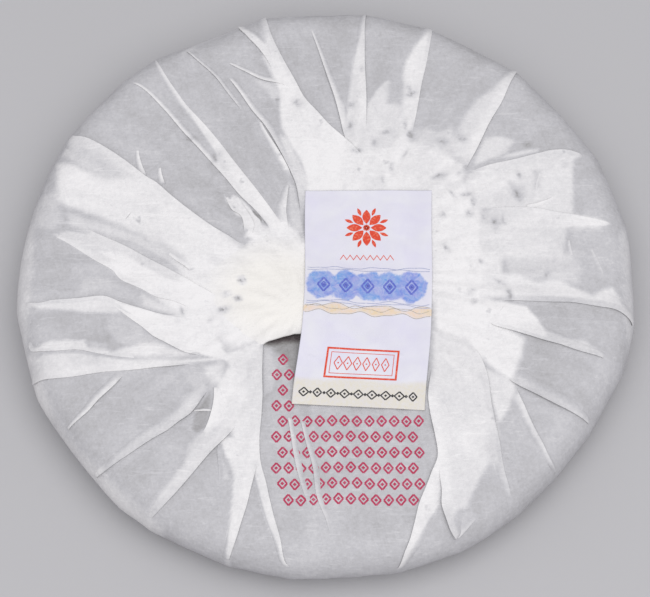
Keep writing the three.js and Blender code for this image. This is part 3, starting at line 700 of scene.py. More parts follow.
def profile_rows():
    """Reach of each ring on the top half, and radius and height of each ring on the lower half."""
    over = np.linspace(0.0, math.pi / 2, SHOULDER_RINGS + 1)[1:]
    top = np.concatenate([np.linspace(1.2, SHOULDER, TOP_RINGS), SHOULDER + TOP_ROUNDING * over])
    turn = np.linspace(math.pi / 2, 0.0, TURN_RINGS + 1)[1:]
    flat_radius = CAKE_RADIUS - BOTTOM_ROUNDING
    lower_radius = np.concatenate([CAKE_RADIUS - BOTTOM_ROUNDING * (1 - np.sin(turn)),
                                   np.linspace(flat_radius, 2.0, UNDER_RINGS + 1)[1:]])
    lower_height = np.concatenate([RIM_HEIGHT - BOTTOM_ROUNDING * np.cos(turn), np.zeros(UNDER_RINGS)])
    return top, lower_radius, lower_height


def wrapper_sheet():
    """Rings of points down the profile, plus one point at each pole."""
    bearing = np.linspace(0.0, 2 * np.pi, ROUND_STEPS, endpoint=False)[None, :]
    reach, radius, height = (values[:, None] for values in profile_rows())
    calm = smooth((CAKE_RADIUS + 4 - reach) / 8)
    top = on_wrapper(reach, bearing, unevenness(reach, bearing) * calm)
    under_lift = smooth(height / 3) * unevenness(radius, bearing) * 0.5
    under_lift = under_lift * smooth((RIM_HEIGHT - height) / 4)
    under = settle(radius - under_lift, height + 0.0 * bearing, bearing)
    rings = np.concatenate([top, under])
    poles = np.array([[*PLAN_SHIFT, crown(0.0)], [*PLAN_SHIFT, 0.0]]) * MM
    poles[0, 2] += unevenness(np.zeros(1), np.zeros(1))[0] * MM
    points = np.concatenate([rings.reshape(-1, 3), poles])
    rows, count = rings.shape[0], rings.shape[0] * ROUND_STEPS
    step = np.arange(ROUND_STEPS)
    onward = (step + 1) % ROUND_STEPS
    last = (rows - 1) * ROUND_STEPS
    quads = grid_faces(rows, ROUND_STEPS, wrap_columns=True)[:, ::-1]
    top_fan = np.stack([np.full_like(step, count), step, onward], axis=-1)
    under_fan = np.stack([np.full_like(step, count + 1), last + onward, last + step], axis=-1)
    x, y = points[:, 0] / MM - PLAN_SHIFT[0], points[:, 1] / MM - PLAN_SHIFT[1]
    shown = smooth((points[:, 2] / MM - FIELD_END) / (RIM_HEIGHT - FIELD_END))
    layers = SINGLE_SHEET + (layers_and_painted_shading(x, y) - SINGLE_SHEET) * shown
    numbers = {"layers": layers, "warmth": 0.0 * layers, "crumbs": crumb_shade(x, y) * shown}
    return points, [quads, top_fan, under_fan], numbers


make_piece("wrapper_sheet", [wrapper_sheet()], tissue, "wrapped_cake")

# %% [markdown]
# ## Knife pleats
# A knife pleat has one crisp fold and a soft side. Across it, from the soft side, the paper climbs
# slowly, kicks up to the fold, rounds over it and turns back underneath, so a thin gap stays below
# the fold and catches a line of shadow. Simulated cloth could fold like this, but each fold has its
# known place here. So each flap is that section carried along the fold's line and closed below the
# sheet. The fold's lines are laid out in plan, in millimetres from the middle.

# %% Pleat section
FOLD_ROUNDING = 0.09
KICK_LENGTH = 1.6
KICK_SHARE = 0.45
LIFT_SCALE = 0.88
ROOT_DEPTH = 0.7
SOFT_SINK = 0.22
SOFT_END = 0.82
FACE_STEPS = 15
NOSE_STEPS = 7
TURNED_UNDER = 18


def section(width, lift):
    """Distance from the fold and height for one closed loop across a flap: a straight climb and an
    exponential kick, a little more than half a circle over the fold, and straight lines below."""
    share = np.linspace(1.0, 0.0, FACE_STEPS)[:-1, None] ** 1.7
    inward = FOLD_ROUNDING + share * (width - FOLD_ROUNDING)
    kick = np.exp(-(inward - FOLD_ROUNDING) / KICK_LENGTH)
    climb = lift * ((1 - KICK_SHARE) * (1 - inward / width) + KICK_SHARE * kick)
    face = climb - SOFT_SINK * smooth((inward / width - SOFT_END) / 0.18)
    turn = np.linspace(0.0, 1.1 * math.pi, NOSE_STEPS)[:, None]
    nose_in = FOLD_ROUNDING - FOLD_ROUNDING * np.sin(turn) + 0.0 * width
    nose_up = lift - FOLD_ROUNDING + FOLD_ROUNDING * np.cos(turn)
    back_in = np.array([0.9, 2.0, 3.4])[:, None] + 0.0 * width
    back_up = np.stack([lift * 0.75 - 0.25, lift * 0.3 - 0.3, 0.0 * lift - ROOT_DEPTH])
    root_in = np.stack([np.maximum(0.6 * width, 3.6), width])
    root_up = np.stack([0.0 * lift - ROOT_DEPTH, 0.0 * lift - ROOT_DEPTH])
    return (np.concatenate([inward, nose_in, back_in, root_in]),
            np.concatenate([face, nose_up, back_up, root_up]))


example_in, example_up = section(np.array([6.0]), np.array([0.8]))
print("points across a flap:", len(example_in), "highest, mm:", example_up.max().round(2))

# %% Fold lines
ALONG_STEPS = 72
BRIGHT_REACH = 4.5
OWN_WHITE = 0.92
# HOLLOW_SHADE is painted shade, given to the rows of a flap or of the bunched end that turn under.
HOLLOW_SHADE = -0.7
FOLD_SWAY = 0.12
SWAY_SIZES = (3.1, 5.7, 9.3)
TURNS_BACK = 1
TURNS_ON = -1
flap_noise = np.random.default_rng(11)


def along_values(values, along):
    """Values given at even steps of the line, read smoothly at any place on it."""
    return np.interp(along, np.linspace(0.0, 1.0, len(values)), values)


def fold_line(points):
    """A smooth line, its direction as unit steps, the share of its length at each, its length."""
    line, length = through(points, ALONG_STEPS)
    heading = np.gradient(line, axis=0)
    heading /= np.hypot(*heading.T)[:, None]
    return line, heading, np.linspace(0.0, 1.0, ALONG_STEPS), length


def beside(line, heading, offset):
    """Places set off square to a line: its direction turned a quarter, times the offset."""
    return line[:, 0] - heading[:, 1] * offset, line[:, 1] + heading[:, 0] * offset


def flap(fold, side, width, lift, white, fades=(0.05, 0.12)):
    """One pleat: the section set square to the fold's line, on the paper laid out flat. Near the
    fold its layers rise from those of the field to its own whiteness."""
    given = np.asarray(fold, float)
    radius, bearing = np.hypot(*given.T), np.arctan2(given[:, 1], given[:, 0])
    reach = reach_of(radius)
    line, heading, along, length = fold_line(
        np.stack([reach * np.cos(bearing), reach * np.sin(bearing)], axis=-1))
    ends = smooth(along / fades[0]) * smooth((1 - along) / fades[1])
    phases = flap_noise.uniform(0, 2 * np.pi, len(SWAY_SIZES))
    sway = sum(np.sin(along * length / size + phase) for size, phase in zip(SWAY_SIZES, phases)) / 3
    wide = np.maximum(along_values(width, along), 0.5)
    high = along_values(lift, along) * LIFT_SCALE * (1 + 0.25 * sway)
    inward, up = section(wide, (high + SOFT_SINK) * ends - SOFT_SINK)
    x, y = beside(line, heading, (inward + FOLD_SWAY * sway * ends) * side)
    under = layers_and_painted_shading(x, y)
    shown = 1 - smooth((inward / np.minimum(0.7 * wide, BRIGHT_REACH) - 0.25) / 0.9)
    shown = shown * smooth(along / 0.05) * smooth((1 - along) / 0.2)
    layers = under + np.maximum(0.0, along_values(white, along) * OWN_WHITE - under) * shown
    crumbs = crumb_shade(x, y)
    # Painted shade: the rows turned under the fold are darkened as the gap's shadow.
    layers[TURNED_UNDER:], crumbs[TURNED_UNDER:] = HOLLOW_SHADE, 0.0
    numbers = {"layers": layers, "warmth": 0.0 * layers, "crumbs": crumbs}
    return on_paper(x, y, up), tube_faces(len(inward), ALONG_STEPS, side < 0), numbers


# %% [markdown]
# Every pleat is a row of one table: the line of its fold from the rim to the middle, the side it
# turns to, and its width, height and whiteness at even steps along the line. A crease is only a
# narrow, low pleat. A last pair of numbers, where given, says how soon the ends sink to the sheet.

# %% Pleats laid round the cake
PLEATS = [
    # right, between the middle and the upper shoulder
    ([(93.5, 17.4), (88.5, 18.9), (83, 20.2), (76, 21.6), (68, 23.2), (58, 23.3), (51, 22.6)],
        TURNS_BACK, (1.5, 4, 5, 6, 7), (0.3, 0.5, 0.4, 0.3), (0.5, 0.8)),
    ([(75, 27.6), (72, 26), (68.5, 24.8), (65, 24)], TURNS_BACK, (0.8, 1.6, 1.6), (0.2, 0.5, 0.6),
        (0.9,)),
    ([(85, 42.2), (80, 44.5), (75, 44.6), (70, 43.4), (62, 41.2), (54, 39.1), (46, 36.2)],
        TURNS_BACK, (3, 9, 14, 17), (0.6, 0.5, 0.3, 0.3), (0.6, 0.7, 0.8)),
    ([(64, 77), (62, 71), (59, 63.5), (55, 56), (52, 49), (49.8, 44.3), (47, 39), (45, 35.5)],
        TURNS_ON, (2, 7, 9, 12), (0.5, 0.6, 0.6, 0.45), (0.45, 0.85, 1.0)),
    ([(36, 95.6), (35.4, 87), (33.6, 77), (32, 69), (30.8, 62), (29.3, 54), (28.4, 49)],
        TURNS_ON, (3.4, 5.8, 7, 9), (0.25, 0.3, 0.35, 0.3), (0.3, 0.85, 1.0), (0.03, 0.12)),
    ([(13.6, 100.2), (13.1, 92), (13, 85), (13.1, 75), (13.5, 62), (13.3, 50)], TURNS_ON, (1, 3, 5, 6),
        (0.5, 0.7, 0.7, 0.4), (0.2, 0.8, 1.0)),
    ([(-5.4, 91.5), (-3.6, 86), (-1.5, 79), (0.8, 71), (2.8, 64), (4.6, 57), (5.8, 51), (7.3, 46)],
        TURNS_BACK, (1, 2, 3, 4), (0.3, 0.6, 0.8, 0.7), (0.6, 0.9)),
    # the broad pleat at the top and what joins it
    ([(-20.6, 99.3), (-19.6, 92), (-17.2, 85), (-14, 78), (-10, 70), (-7, 64), (-3, 59), (1.5, 53.5),
        (6, 49), (11, 43.5), (15, 39)], TURNS_ON, (2, 6, 9, 12, 18), (0.4, 0.55, 0.9, 1.0, 0.8),
        (0.35, 0.9, 1.0)),
    ([(-29.4, 96.5), (-29.6, 93), (-27, 88.5), (-23, 83.5), (-20, 79), (-17, 73)],
        TURNS_BACK, (1.5, 4, 5), (0.6, 0.7, 0.4), (0.8, 1.0)),
    ([(-33.5, 78.5), (-28, 75), (-22, 71.3), (-15, 69.2), (-9, 66)], TURNS_BACK, (1.2, 2, 2.5),
        (0.3, 0.5, 0.5), (0.7, 1.0)),
    ([(-48, 84), (-45, 80.5), (-40, 75.5), (-36.5, 71.5), (-32, 65), (-27.6, 58.6)],
        TURNS_BACK, (1, 1.6, 1.4), (0.35, 0.5, 0.3), (0.6, 0.45)),
    ([(-33.5, 73.2), (-30, 68), (-25, 60), (-21, 54.5), (-18, 49.5), (-14.6, 43), (-11.8, 36.8),
        (-9.7, 31), (-8.6, 24), (-8.2, 19)], TURNS_BACK, (1.6, 2.4, 3, 4, 5), (0.4, 0.6, 0.9, 0.8, 0.7),
        (0.9, 0.9, 0.55, 0.4, 0.6, 0.8)),
    ([(-22, 56.4), (-20.6, 53), (-16.6, 46.2), (-12.9, 39), (-11.2, 34.4)], TURNS_ON, (1.2, 2.6, 3.4),
        (0.3, 0.5, 0.5), (0.6, 0.95, 1.0), (0.1, 0.06)),
    ([(-12, 32), (-12.5, 27.5), (-12.9, 22), (-12, 15)], TURNS_ON, (1.4, 4, 7), (0.3, 0.4, 0.3),
        (0.7,)),
    # the long strip from the upper left
    ([(-57.5, 83), (-56.2, 78), (-54, 73.6), (-50, 67), (-46, 61), (-40, 53.8), (-35, 47), (-30, 40),
        (-25, 33), (-20, 26), (-16, 20), (-12, 14), (-9, 9.5)], TURNS_ON, (1, 2.2, 3.4, 4.4, 6, 8),
        (0.2, 0.2, 0.2, 0.22, 0.3), (0.55, 0.95, 1.0)),
    ([(-66, 71), (-60.5, 66.8), (-56, 62), (-52, 57.3), (-47, 50.6), (-42, 45), (-38, 40.2), (-33, 34),
        (-28.5, 28), (-24, 23), (-20, 18), (-16, 12.5)], TURNS_BACK, (1.2, 2, 2.2, 3.4, 5),
        (0.25, 0.42, 0.5, 0.45, 0.65), (0.7, 1.0)),
    ([(-29, 27.6), (-27, 24), (-24.8, 20.4), (-23.4, 17), (-24.4, 12.6)], TURNS_ON, (2, 4, 3.4, 2),
        (0.3, 0.45, 0.3), (0.9,)),
    ([(-33, 27.4), (-31, 22.6), (-27.6, 19.6), (-26.6, 14)], TURNS_BACK, (1.5, 2.4, 2), (0.2, 0.4, 0.3),
        (0.9,)),
    # the broad white pleat on the left
    ([(-84.5, 53), (-83, 50.5), (-79, 48.8), (-74, 46), (-68, 41.8), (-63.4, 38.1), (-59.1, 34.4),
        (-55.5, 32), (-50.5, 27.3), (-43.5, 21.3), (-37.5, 16.6), (-32, 13), (-27.5, 10.4),
        (-23.5, 12)], TURNS_ON, (4, 13, 19, 20, 16), (0.7, 0.9, 1.0, 0.9, 0.6), (0.6, 0.85, 0.9)),
    ([(-62.2, 46), (-61.4, 42), (-60.2, 38.2), (-58.7, 34.8)], TURNS_ON, (0.9, 2.0, 3.0),
        (0.2, 0.35, 0.4), (0.9,), (0.3, 0.04)),
    ([(-54.4, 39), (-54, 36), (-52.6, 31.6)], TURNS_ON, (0.9, 2.0, 2.4), (0.2, 0.35, 0.35), (0.9,),
        (0.3, 0.04)),
    ([(-79, 16), (-76, 14.4), (-69, 10.8), (-61, 6.6), (-53.5, 2.2), (-47, -1.4), (-42, -4.4),
        (-33, -10)], TURNS_ON, (4, 7, 9, 8), (0.3, 0.6, 0.7, 0.5), (0.6, 0.6, 0.85)),
    ([(-51.5, 6.4), (-48.5, 3.8), (-45.6, 1.8), (-43.6, 0)], TURNS_BACK, (1.5, 2.4, 2), (0.2, 0.4, 0.4),
        (1.0,)),
    ([(-90, 13), (-88, 12), (-80, 7.4), (-74.3, 3.4), (-69.2, 0.4), (-66, -3), (-59.4, -6), (-54.6, -9),
        (-48, -11), (-40, -15)], TURNS_BACK, (2, 4, 4, 5), (0.1, 0.2, 0.25, 0.2), (0.75, 0.95)),
    # left, below the middle line
    ([(-97.3, -9.8), (-92, -11), (-88, -10.2), (-80, -9.5), (-71.5, -8.8), (-66, -11), (-60, -13),
        (-53, -15), (-46, -16)], TURNS_ON, (1.5, 4, 4.5, 8, 9), (0.4, 0.6, 0.8, 0.5, 0.4),
        (0.3, 0.7, 1.0)),
    ([(-71, -9), (-68.4, -12), (-64.5, -15.6), (-60.4, -18.7), (-55.5, -22.6), (-50.4, -25.7),
        (-45.3, -28.4), (-38, -30)], TURNS_BACK, (1, 6, 10, 12), (0.3, 0.35, 0.35, 0.3), (1.0,)),
    ([(-96.5, -22.5), (-95, -26.5), (-91, -27.8), (-87, -28), (-80, -27.6), (-74, -28.6), (-65, -30),
        (-56, -31), (-48, -30.6), (-41, -29)], TURNS_BACK, (1.5, 3, 3, 4), (0.45, 0.3, 0.1, 0.1),
        (0.6, 0.8)),
    ([(-95, -34.5), (-93.5, -36.5), (-90, -37), (-85, -37.2), (-79, -36.6), (-70, -35.2), (-63, -34.8),
        (-55, -34), (-47, -33.3), (-40.5, -32)], TURNS_BACK, (2, 8, 8, 7), (0.5, 0.35, 0.35, 0.6),
        (0.65, 0.95)),
    ([(-82.4, -54.4), (-78.6, -51.7), (-76, -49.5), (-72.2, -45), (-68, -40.6), (-64, -36)],
        TURNS_BACK, (1, 3, 3), (0.4, 0.8, 0.6), (0.9,)),
    ([(-73, -69), (-69.5, -68.3), (-64.5, -65.3), (-60, -62), (-55, -58.4), (-50, -55.2),
        (-46.5, -52.3), (-43, -49.8), (-40.6, -47), (-38.3, -43), (-36.4, -40.2)],
        TURNS_BACK, (1.5, 4, 6, 9), (0.5, 0.6, 0.8, 1.0), (0.2, 0.35, 0.6)),
    ([(-42, -48.7), (-39, -48.6), (-35.5, -48.5)], TURNS_BACK, (0.9, 1.3, 0.9), (0.3, 0.4, 0.3),
        (1.0,)),
    ([(-55, -83), (-52, -81.2), (-48, -77.6), (-44, -72.8), (-40, -67.6), (-36, -62.6), (-33.4, -59.8),
        (-30, -56), (-27.5, -52)], TURNS_BACK, (1.5, 5, 6, 8, 10), (0.5, 0.6, 0.7, 0.5),
        (0.2, 0.7, 1.0)),
    ([(-35.4, -40), (-35.6, -45), (-36.6, -50), (-38, -54.4), (-39.4, -56)], TURNS_BACK, (2, 5, 4),
        (0.4, 0.8, 0.5), (1.0,)),
    # lower left, beside the printed panel
    ([(-30.2, -95.8), (-27.6, -90.5), (-25.7, -84), (-24.4, -79), (-23.4, -74.5), (-22.4, -70.6),
        (-21, -64)], TURNS_BACK, (2.4, 3.8, 5, 7), (0.5, 0.6, 0.6, 0.5), (0.8, 1.0)),
    ([(-33.5, -73), (-33.8, -68), (-34.3, -62), (-33.4, -59)], TURNS_ON, (1, 2.4, 3),
        (0.05, 0.25, 0.25), (0.0,)),
    ([(-10, -99.4), (-12.6, -97.4), (-14, -92), (-16, -85), (-17.6, -78), (-18.8, -72.5), (-20.4, -66),
        (-20.9, -58), (-20.4, -50), (-20, -43), (-20.2, -35), (-19.9, -25), (-19, -19)],
        TURNS_BACK, (1.5, 3, 4, 7, 8, 8), (0.4, 0.5, 0.6, 0.9, 1.4), (0.9, 0.9, 0.6)),
    # creases in the printed panel
    ([(-12.3, -50), (-11.2, -57), (-9.6, -66), (-7.6, -74), (-5, -82)], TURNS_BACK, (1.4, 2.4, 1.4),
        (0.3, 0.35, 0.1), (0.5, 0.15)),
    ([(-8.2, -51), (-6.4, -59), (-4.2, -68), (-3, -77), (0, -86), (1.6, -93)],
        TURNS_BACK, (1.4, 2.2, 1.4), (0.3, 0.3, 0.1), (0.45, 0.15)),
    # lower right, on the other side of the panel
    ([(21.5, -98.6), (24, -95), (26, -91), (27.6, -86), (29, -80), (30.8, -75), (32.8, -69.6),
        (35, -64), (34.2, -57), (33, -50), (32.3, -43), (33, -37), (34, -31)],
        TURNS_ON, (2, 6, 8, 12, 15), (0.6, 0.8, 0.9, 0.9, 0.7), (1.0,)),
    ([(40.2, -90), (38.3, -88), (37, -84.4), (35.9, -80), (36, -75), (35.4, -69), (36, -62)],
        TURNS_ON, (3, 10, 10), (1.5, 0.9, 0.4), (0.4, 0.9, 1.0), (0.02, 0.12)),
    ([(47, -84.2), (44.6, -86.6), (42, -88.8), (39.6, -90.2)], TURNS_ON, (1, 3, 2), (0.1, 0.5, 0.6),
        (0.3, 0.5)),
    ([(58.5, -78.5), (56.9, -72), (56.1, -67.5), (54.8, -59), (53.4, -52.5), (52.4, -46), (51.7, -38.5),
        (50.4, -33), (48, -28), (44.5, -24)], TURNS_BACK, (2, 4, 5, 6), (0.3, 0.6, 0.6, 0.3),
        (0.2, 0.45, 0.9)),
    ([(73.8, -67.8), (71.4, -65), (69.3, -60.5), (65.8, -53.5), (63.2, -47.5), (61, -42.5), (60, -39)],
        TURNS_BACK, (1, 2.4, 3.2, 4.4), (0.4, 0.8, 0.8, 0.5), (0.3, 0.55, 0.8), (0.16, 0.12)),
    ([(85, -52.2), (83, -51.5), (79.8, -50.3), (75, -48), (70, -45.2), (65, -42.2), (60, -39.3),
        (57, -36.8)], TURNS_ON, (1.4, 5, 6, 6), (0.3, 0.9, 1.1, 1.1), (0.5, 0.3, 0.3, 0.5)),
    # right, below the middle line
    ([(89.5, -30.8), (85, -29.4), (80, -27.8), (75, -26), (70, -24.6), (65, -22.8), (60, -21),
        (53.5, -18.8), (50.5, -16)], TURNS_ON, (2, 4, 7, 10), (0.6, 0.8, 0.8, 0.5), (0.3, 0.6, 1.0)),
    ([(98.9, -17), (97.4, -15.6), (93, -13.5), (88, -12.5), (80, -11.3), (75, -10.9), (68, -10.4),
        (60, -10.2), (53, -10.6)], TURNS_ON, (3, 7, 8, 8), (0.6, 0.6, 0.5, 0.4), (0.8, 0.1, 0.6)),
    ([(71, 37.5), (69, 33), (68.4, 28.5)], TURNS_BACK, (1, 1.5, 1), (0.05, 0.15, 0.05), (0.6,)),
    ([(80.5, 5.8), (79.8, 8.6), (79.2, 12)], TURNS_BACK, (1, 1.6, 1), (0.05, 0.15, 0.05), (0.55,)),
    ([(90.5, -1), (88.5, 4.5), (86.5, 9)], TURNS_BACK, (1, 2, 1), (0.05, 0.12, 0.05), (0.4,)),
]

folds = [flap(*row) for row in PLEATS]
make_piece("pleat_folds", folds, tissue)

# %% [markdown]
# ## The bunched end
# The sheet's end is gathered into a soft lump beside the slip. Its near side is lifted off the
# panel below, so it shows a rounded edge with a dark hollow under it. It could be sculpted, but a
# bell shape with ridges round it gives the lump in two formulas, and the slip can ride over it by
# the same rule. The sheet runs back from its edge like a very wide flap.

# %% Bunched end
BUNCH_RISE = 3.2
BUNCH_CENTRE = (-9.0, -14.0)
BUNCH_SPREAD = (22.0, 17.0)
BUNCH_EDGE = [(-22, -27.8), (-19.9, -25.8), (-16.5, -24.5), (-12.5, -23.3), (-8.5, -22.6), (-4, -22.2),
              (2, -22), (9, -23.5)]
BUNCH_REACH = 38.0
BUNCH_NOSE = 0.55
BUNCH_SINK = 0.22
BACK_ROWS = 39
NOSE_ROWS = 9
NOSE_END = BACK_ROWS + NOSE_ROWS
WRINKLE_HEIGHT = 0.22


def bunch_lift(x, y):
    """Height of the lump over the cake: a bell shape in both directions."""
    across = (x - BUNCH_CENTRE[0]) / BUNCH_SPREAD[0]
    along = (y - BUNCH_CENTRE[1]) / BUNCH_SPREAD[1]
    return BUNCH_RISE * np.exp(-across ** 2 - along ** 2)


def wrinkles(x, y):
    """Soft ridges that run out from the lump: waves round its centre, bent as they go outwards."""
    across, along = x - BUNCH_CENTRE[0], y - BUNCH_CENTRE[1]
    away, turn = np.hypot(across, along), np.arctan2(along, across)
    waves_round = np.sin(11 * turn + 0.16 * away) + 0.7 * np.sin(17 * turn - 0.22 * away + 1.0)
    return WRINKLE_HEIGHT * waves_round * smooth((away - 3) / 8) * smooth((34 - away) / 16)


def bunched_end():
    """Rows of points from far behind the edge, over it in a little more than half a circle, and
    back under it to the sheet. The height is the lump with its ridges, fading at both ends."""
    line, heading, along, _ = fold_line(BUNCH_EDGE)
    ends = smooth(along / 0.16) * smooth((1 - along) / 0.15)
    back = BUNCH_NOSE + (BUNCH_REACH - BUNCH_NOSE) * np.linspace(1, 0, BACK_ROWS + 1)[:-1, None] ** 1.5
    turn = np.linspace(0.0, 1.2 * math.pi, NOSE_ROWS)[:, None]
    below = np.array([2.0, 4.0, 5.5, BUNCH_REACH])[:, None]
    inward = np.concatenate([back, BUNCH_NOSE - BUNCH_NOSE * np.sin(turn), below]) + 0.0 * along
    x, y = beside(line, heading, inward)
    lift = (bunch_lift(x, y) + wrinkles(x, y) + BUNCH_SINK) * ends - BUNCH_SINK
    edge = lift[BACK_ROWS]
    lift[:BACK_ROWS] -= 0.3 * smooth((inward[:BACK_ROWS] / BUNCH_REACH - 0.8) / 0.2)
    lift[BACK_ROWS:NOSE_END] = edge - BUNCH_NOSE + BUNCH_NOSE * np.cos(turn)
    root = 0.0 * edge - ROOT_DEPTH
    lift[NOSE_END:] = np.stack([edge * 0.62 - 0.6, edge * 0.3 - 0.6, root, root])
    warm = 0.6 * smooth((24 - np.hypot((x + 16) * 0.9, y + 8)) / 16)
    warm = warm * (1 - smooth(crumb_shade(x, y) / 0.3))
    # Painted shade: darker just behind the front edge, in the troughs of the ridges, and on the rows
    # turned under.
    shaded = 0.45 * smooth((3.5 - inward) / 3.5) * smooth((x + 21) / 6)
    layers = np.maximum(layers_and_painted_shading(x, y), smooth(lift / 0.8)) - shaded
    layers = layers - 0.2 * smooth(-wrinkles(x, y) / WRINKLE_HEIGHT)
    crumbs = 1.8 * crumb_shade(x, y)
    layers[NOSE_END:], crumbs[NOSE_END:] = HOLLOW_SHADE, 0.0
    numbers = {"layers": layers, "warmth": warm, "crumbs": crumbs}
    return on_paper(x, y, lift), tube_faces(len(inward), ALONG_STEPS), numbers


make_piece("bunched_end", [bunched_end()], tissue)

# %% [markdown]
# ## The paper slip
# The slip is a sheet of thin printing paper. It follows the cake and rides over the bunched end,
# with slow waves of its own. A plane with a Solidify modifier could do it, but a closed slab of two
# grids joined at the edges keeps every point in hand for the print. Its soft printed fields are
# numbers on its vertices: a band of blue wash, paler in the middle, a sand-coloured wave band and a
# cream strip. What has sharp edges is laid on as thin shapes of ink below.

# %% Slip surface
SLIP_WIDTH = 41.7
SLIP_LENGTH = 77.5
SLIP_CLEARANCE = 0.4
SLIP_LOWER_FACE = 0.17
SLIP_THICKNESS = 0.14
SLIP_BOW = 2.0
SLIP_SAG = 0.9
SLIP_COLUMNS, SLIP_ROWS = 150, 280

# Height, waves across, waves along and phase of the slip's slow waves.
SLIP_WAVES = [(0.10, 2.2, 7.5, 0.6), (0.07, -6.0, 11.0, 0.0), (0.05, 5.0, 23.0, 0.0),
              (0.04, 17.0, -9.0, 0.0)]

# Two places in mm on the slip and the height of the crease between them.
SLIP_CREASES = [((2.8, 60.6), (6.2, 62.0), 0.16), ((30.6, 58.4), (34.0, 59.6), 0.16),
                ((36.0, 6.0), (33.0, 26.0), 0.05), ((9.0, 44.0), (6.0, 58.0), 0.06),
                ((27.0, 47.0), (24.0, 57.0), 0.05), ((38.0, 52.0), (41.0, 66.0), 0.06)]


def slip_plan(right, up):
    """Plan place on the slip: shares right and up between its corners, bowed a little to the right."""
    corners = [np.array(corner) for corner in (*SLIP_BOTTOM, *SLIP_TOP)]
    low = corners[0] + (corners[1] - corners[0]) * right[..., None]
    high = corners[2] + (corners[3] - corners[2]) * right[..., None]
    bow = SLIP_BOW * (1 - 0.35 * right) * smooth(up / 0.4) * (1 - 0.8 * smooth((up - 0.5) / 0.5))
    return low + (high - low) * up[..., None] + np.stack([bow, -SLIP_SAG * up], axis=-1)


def slip_creases(right, up):
    """Short ridges: a bell shape across each line between two places given in mm on the slip."""
    across, down = right * SLIP_WIDTH, (1 - up) * SLIP_LENGTH
    total = 0.0 * across
    for (x0, y0), (x1, y1), high in SLIP_CREASES:
        run, rise = x1 - x0, y1 - y0
        share = ((across - x0) * run + (down - y0) * rise) / (run ** 2 + rise ** 2)
        away = np.hypot(across - x0 - share * run, down - y0 - share * rise)
        total = total + high * np.exp(-(away / 0.6) ** 2) * smooth(share * 4) * smooth((1 - share) * 4)
    return total


def slip_point(right, up, lift):
    """A point lift above the slip's underside: cake, bunched end, clearance and slow waves."""
    plan = slip_plan(right, up)
    x, y = plan[..., 0], plan[..., 1]
    wave = sum(high * np.sin(across * right + along * up + phase)
               for high, across, along, phase in SLIP_WAVES)
    curl = 0.10 * smooth((right - 0.9) / 0.1) * (1 + np.sin(15 * up))
    curl = curl - 0.22 * smooth((right - 0.7) / 0.3)
    height = crown(np.hypot(x, y)) + bunch_lift(x, y) + SLIP_CLEARANCE + SLIP_LOWER_FACE + wave + curl
    height = height + slip_creases(right, up) + lift
    return np.stack([x + PLAN_SHIFT[0], y + PLAN_SHIFT[1], height], axis=-1) * MM


corner = slip_point(np.array([0.0]), np.array([0.0]), 0.0)[0]
print("the slip's lower left corner, m:", corner.round(4).tolist())

# %% Soft print on the slip
BAND_MIDDLE = 35.0
CLOUD_MIDDLES = (6.2, 13.4, 20.6, 27.8, 35.0)
CLOUD_HALF_WIDTH, CLOUD_HALF_HEIGHT = 6.2, 5.9
CREAM_START = 67.2


def sand_edges(across):
    """The two wave lines that bound the sand-coloured band: sines of unlike length that meet."""
    upper = 42.6 + 0.7 * np.sin(across / 2.4 + 0.6) - 0.3 * np.sin(across / 1.4)
    lower = 45.3 + 0.6 * np.sin(across / 2.1 + 2.4) + 0.3 * np.sin(across / 1.1)
    return upper, np.maximum(lower, upper)


def printed_fields(right, up):
    """Strength of each soft print at a place: ovals in a row, the band between two waves, and all
    that lies below a third wave, each with a soft edge."""
    across, down = right * SLIP_WIDTH, (1 - up) * SLIP_LENGTH
    sway = 0.06 * np.sin(across / 1.7) + 0.04 * np.sin(across / 0.8 + down)
    clouds = [np.hypot((across - middle) / CLOUD_HALF_WIDTH, (down - BAND_MIDDLE) / CLOUD_HALF_HEIGHT)
              for middle in CLOUD_MIDDLES]
    blue = smooth((1.10 + sway - np.min(clouds, axis=0)) / 0.4)
    upper, lower = sand_edges(across)
    sand = smooth((down - upper) / 0.5) * smooth((lower - down) / 0.5)
    cream = smooth((down - CREAM_START - 0.5 * np.sin(across / 4)) / 2.4)
    return {"blue": blue, "sand": sand, "cream": cream}


across_slip, up_slip = np.meshgrid(np.linspace(0, 1, 50), np.linspace(0, 1, 90))
for name, field in printed_fields(across_slip, up_slip).items():
    print("share of the slip under", name + ":", field.mean().round(2))

# %% [markdown]
# The slip is uncoated printing paper: smoother than the tissue, a faint lilac white, with slow
# clouds of pulp 7 to 8 mm across. Its washes are inks that sank in: the blue pools in patches and
# has a feathered edge. An image could carry them, but here the numbers on the vertices say where
# each ink lies, and noise says how well it took.

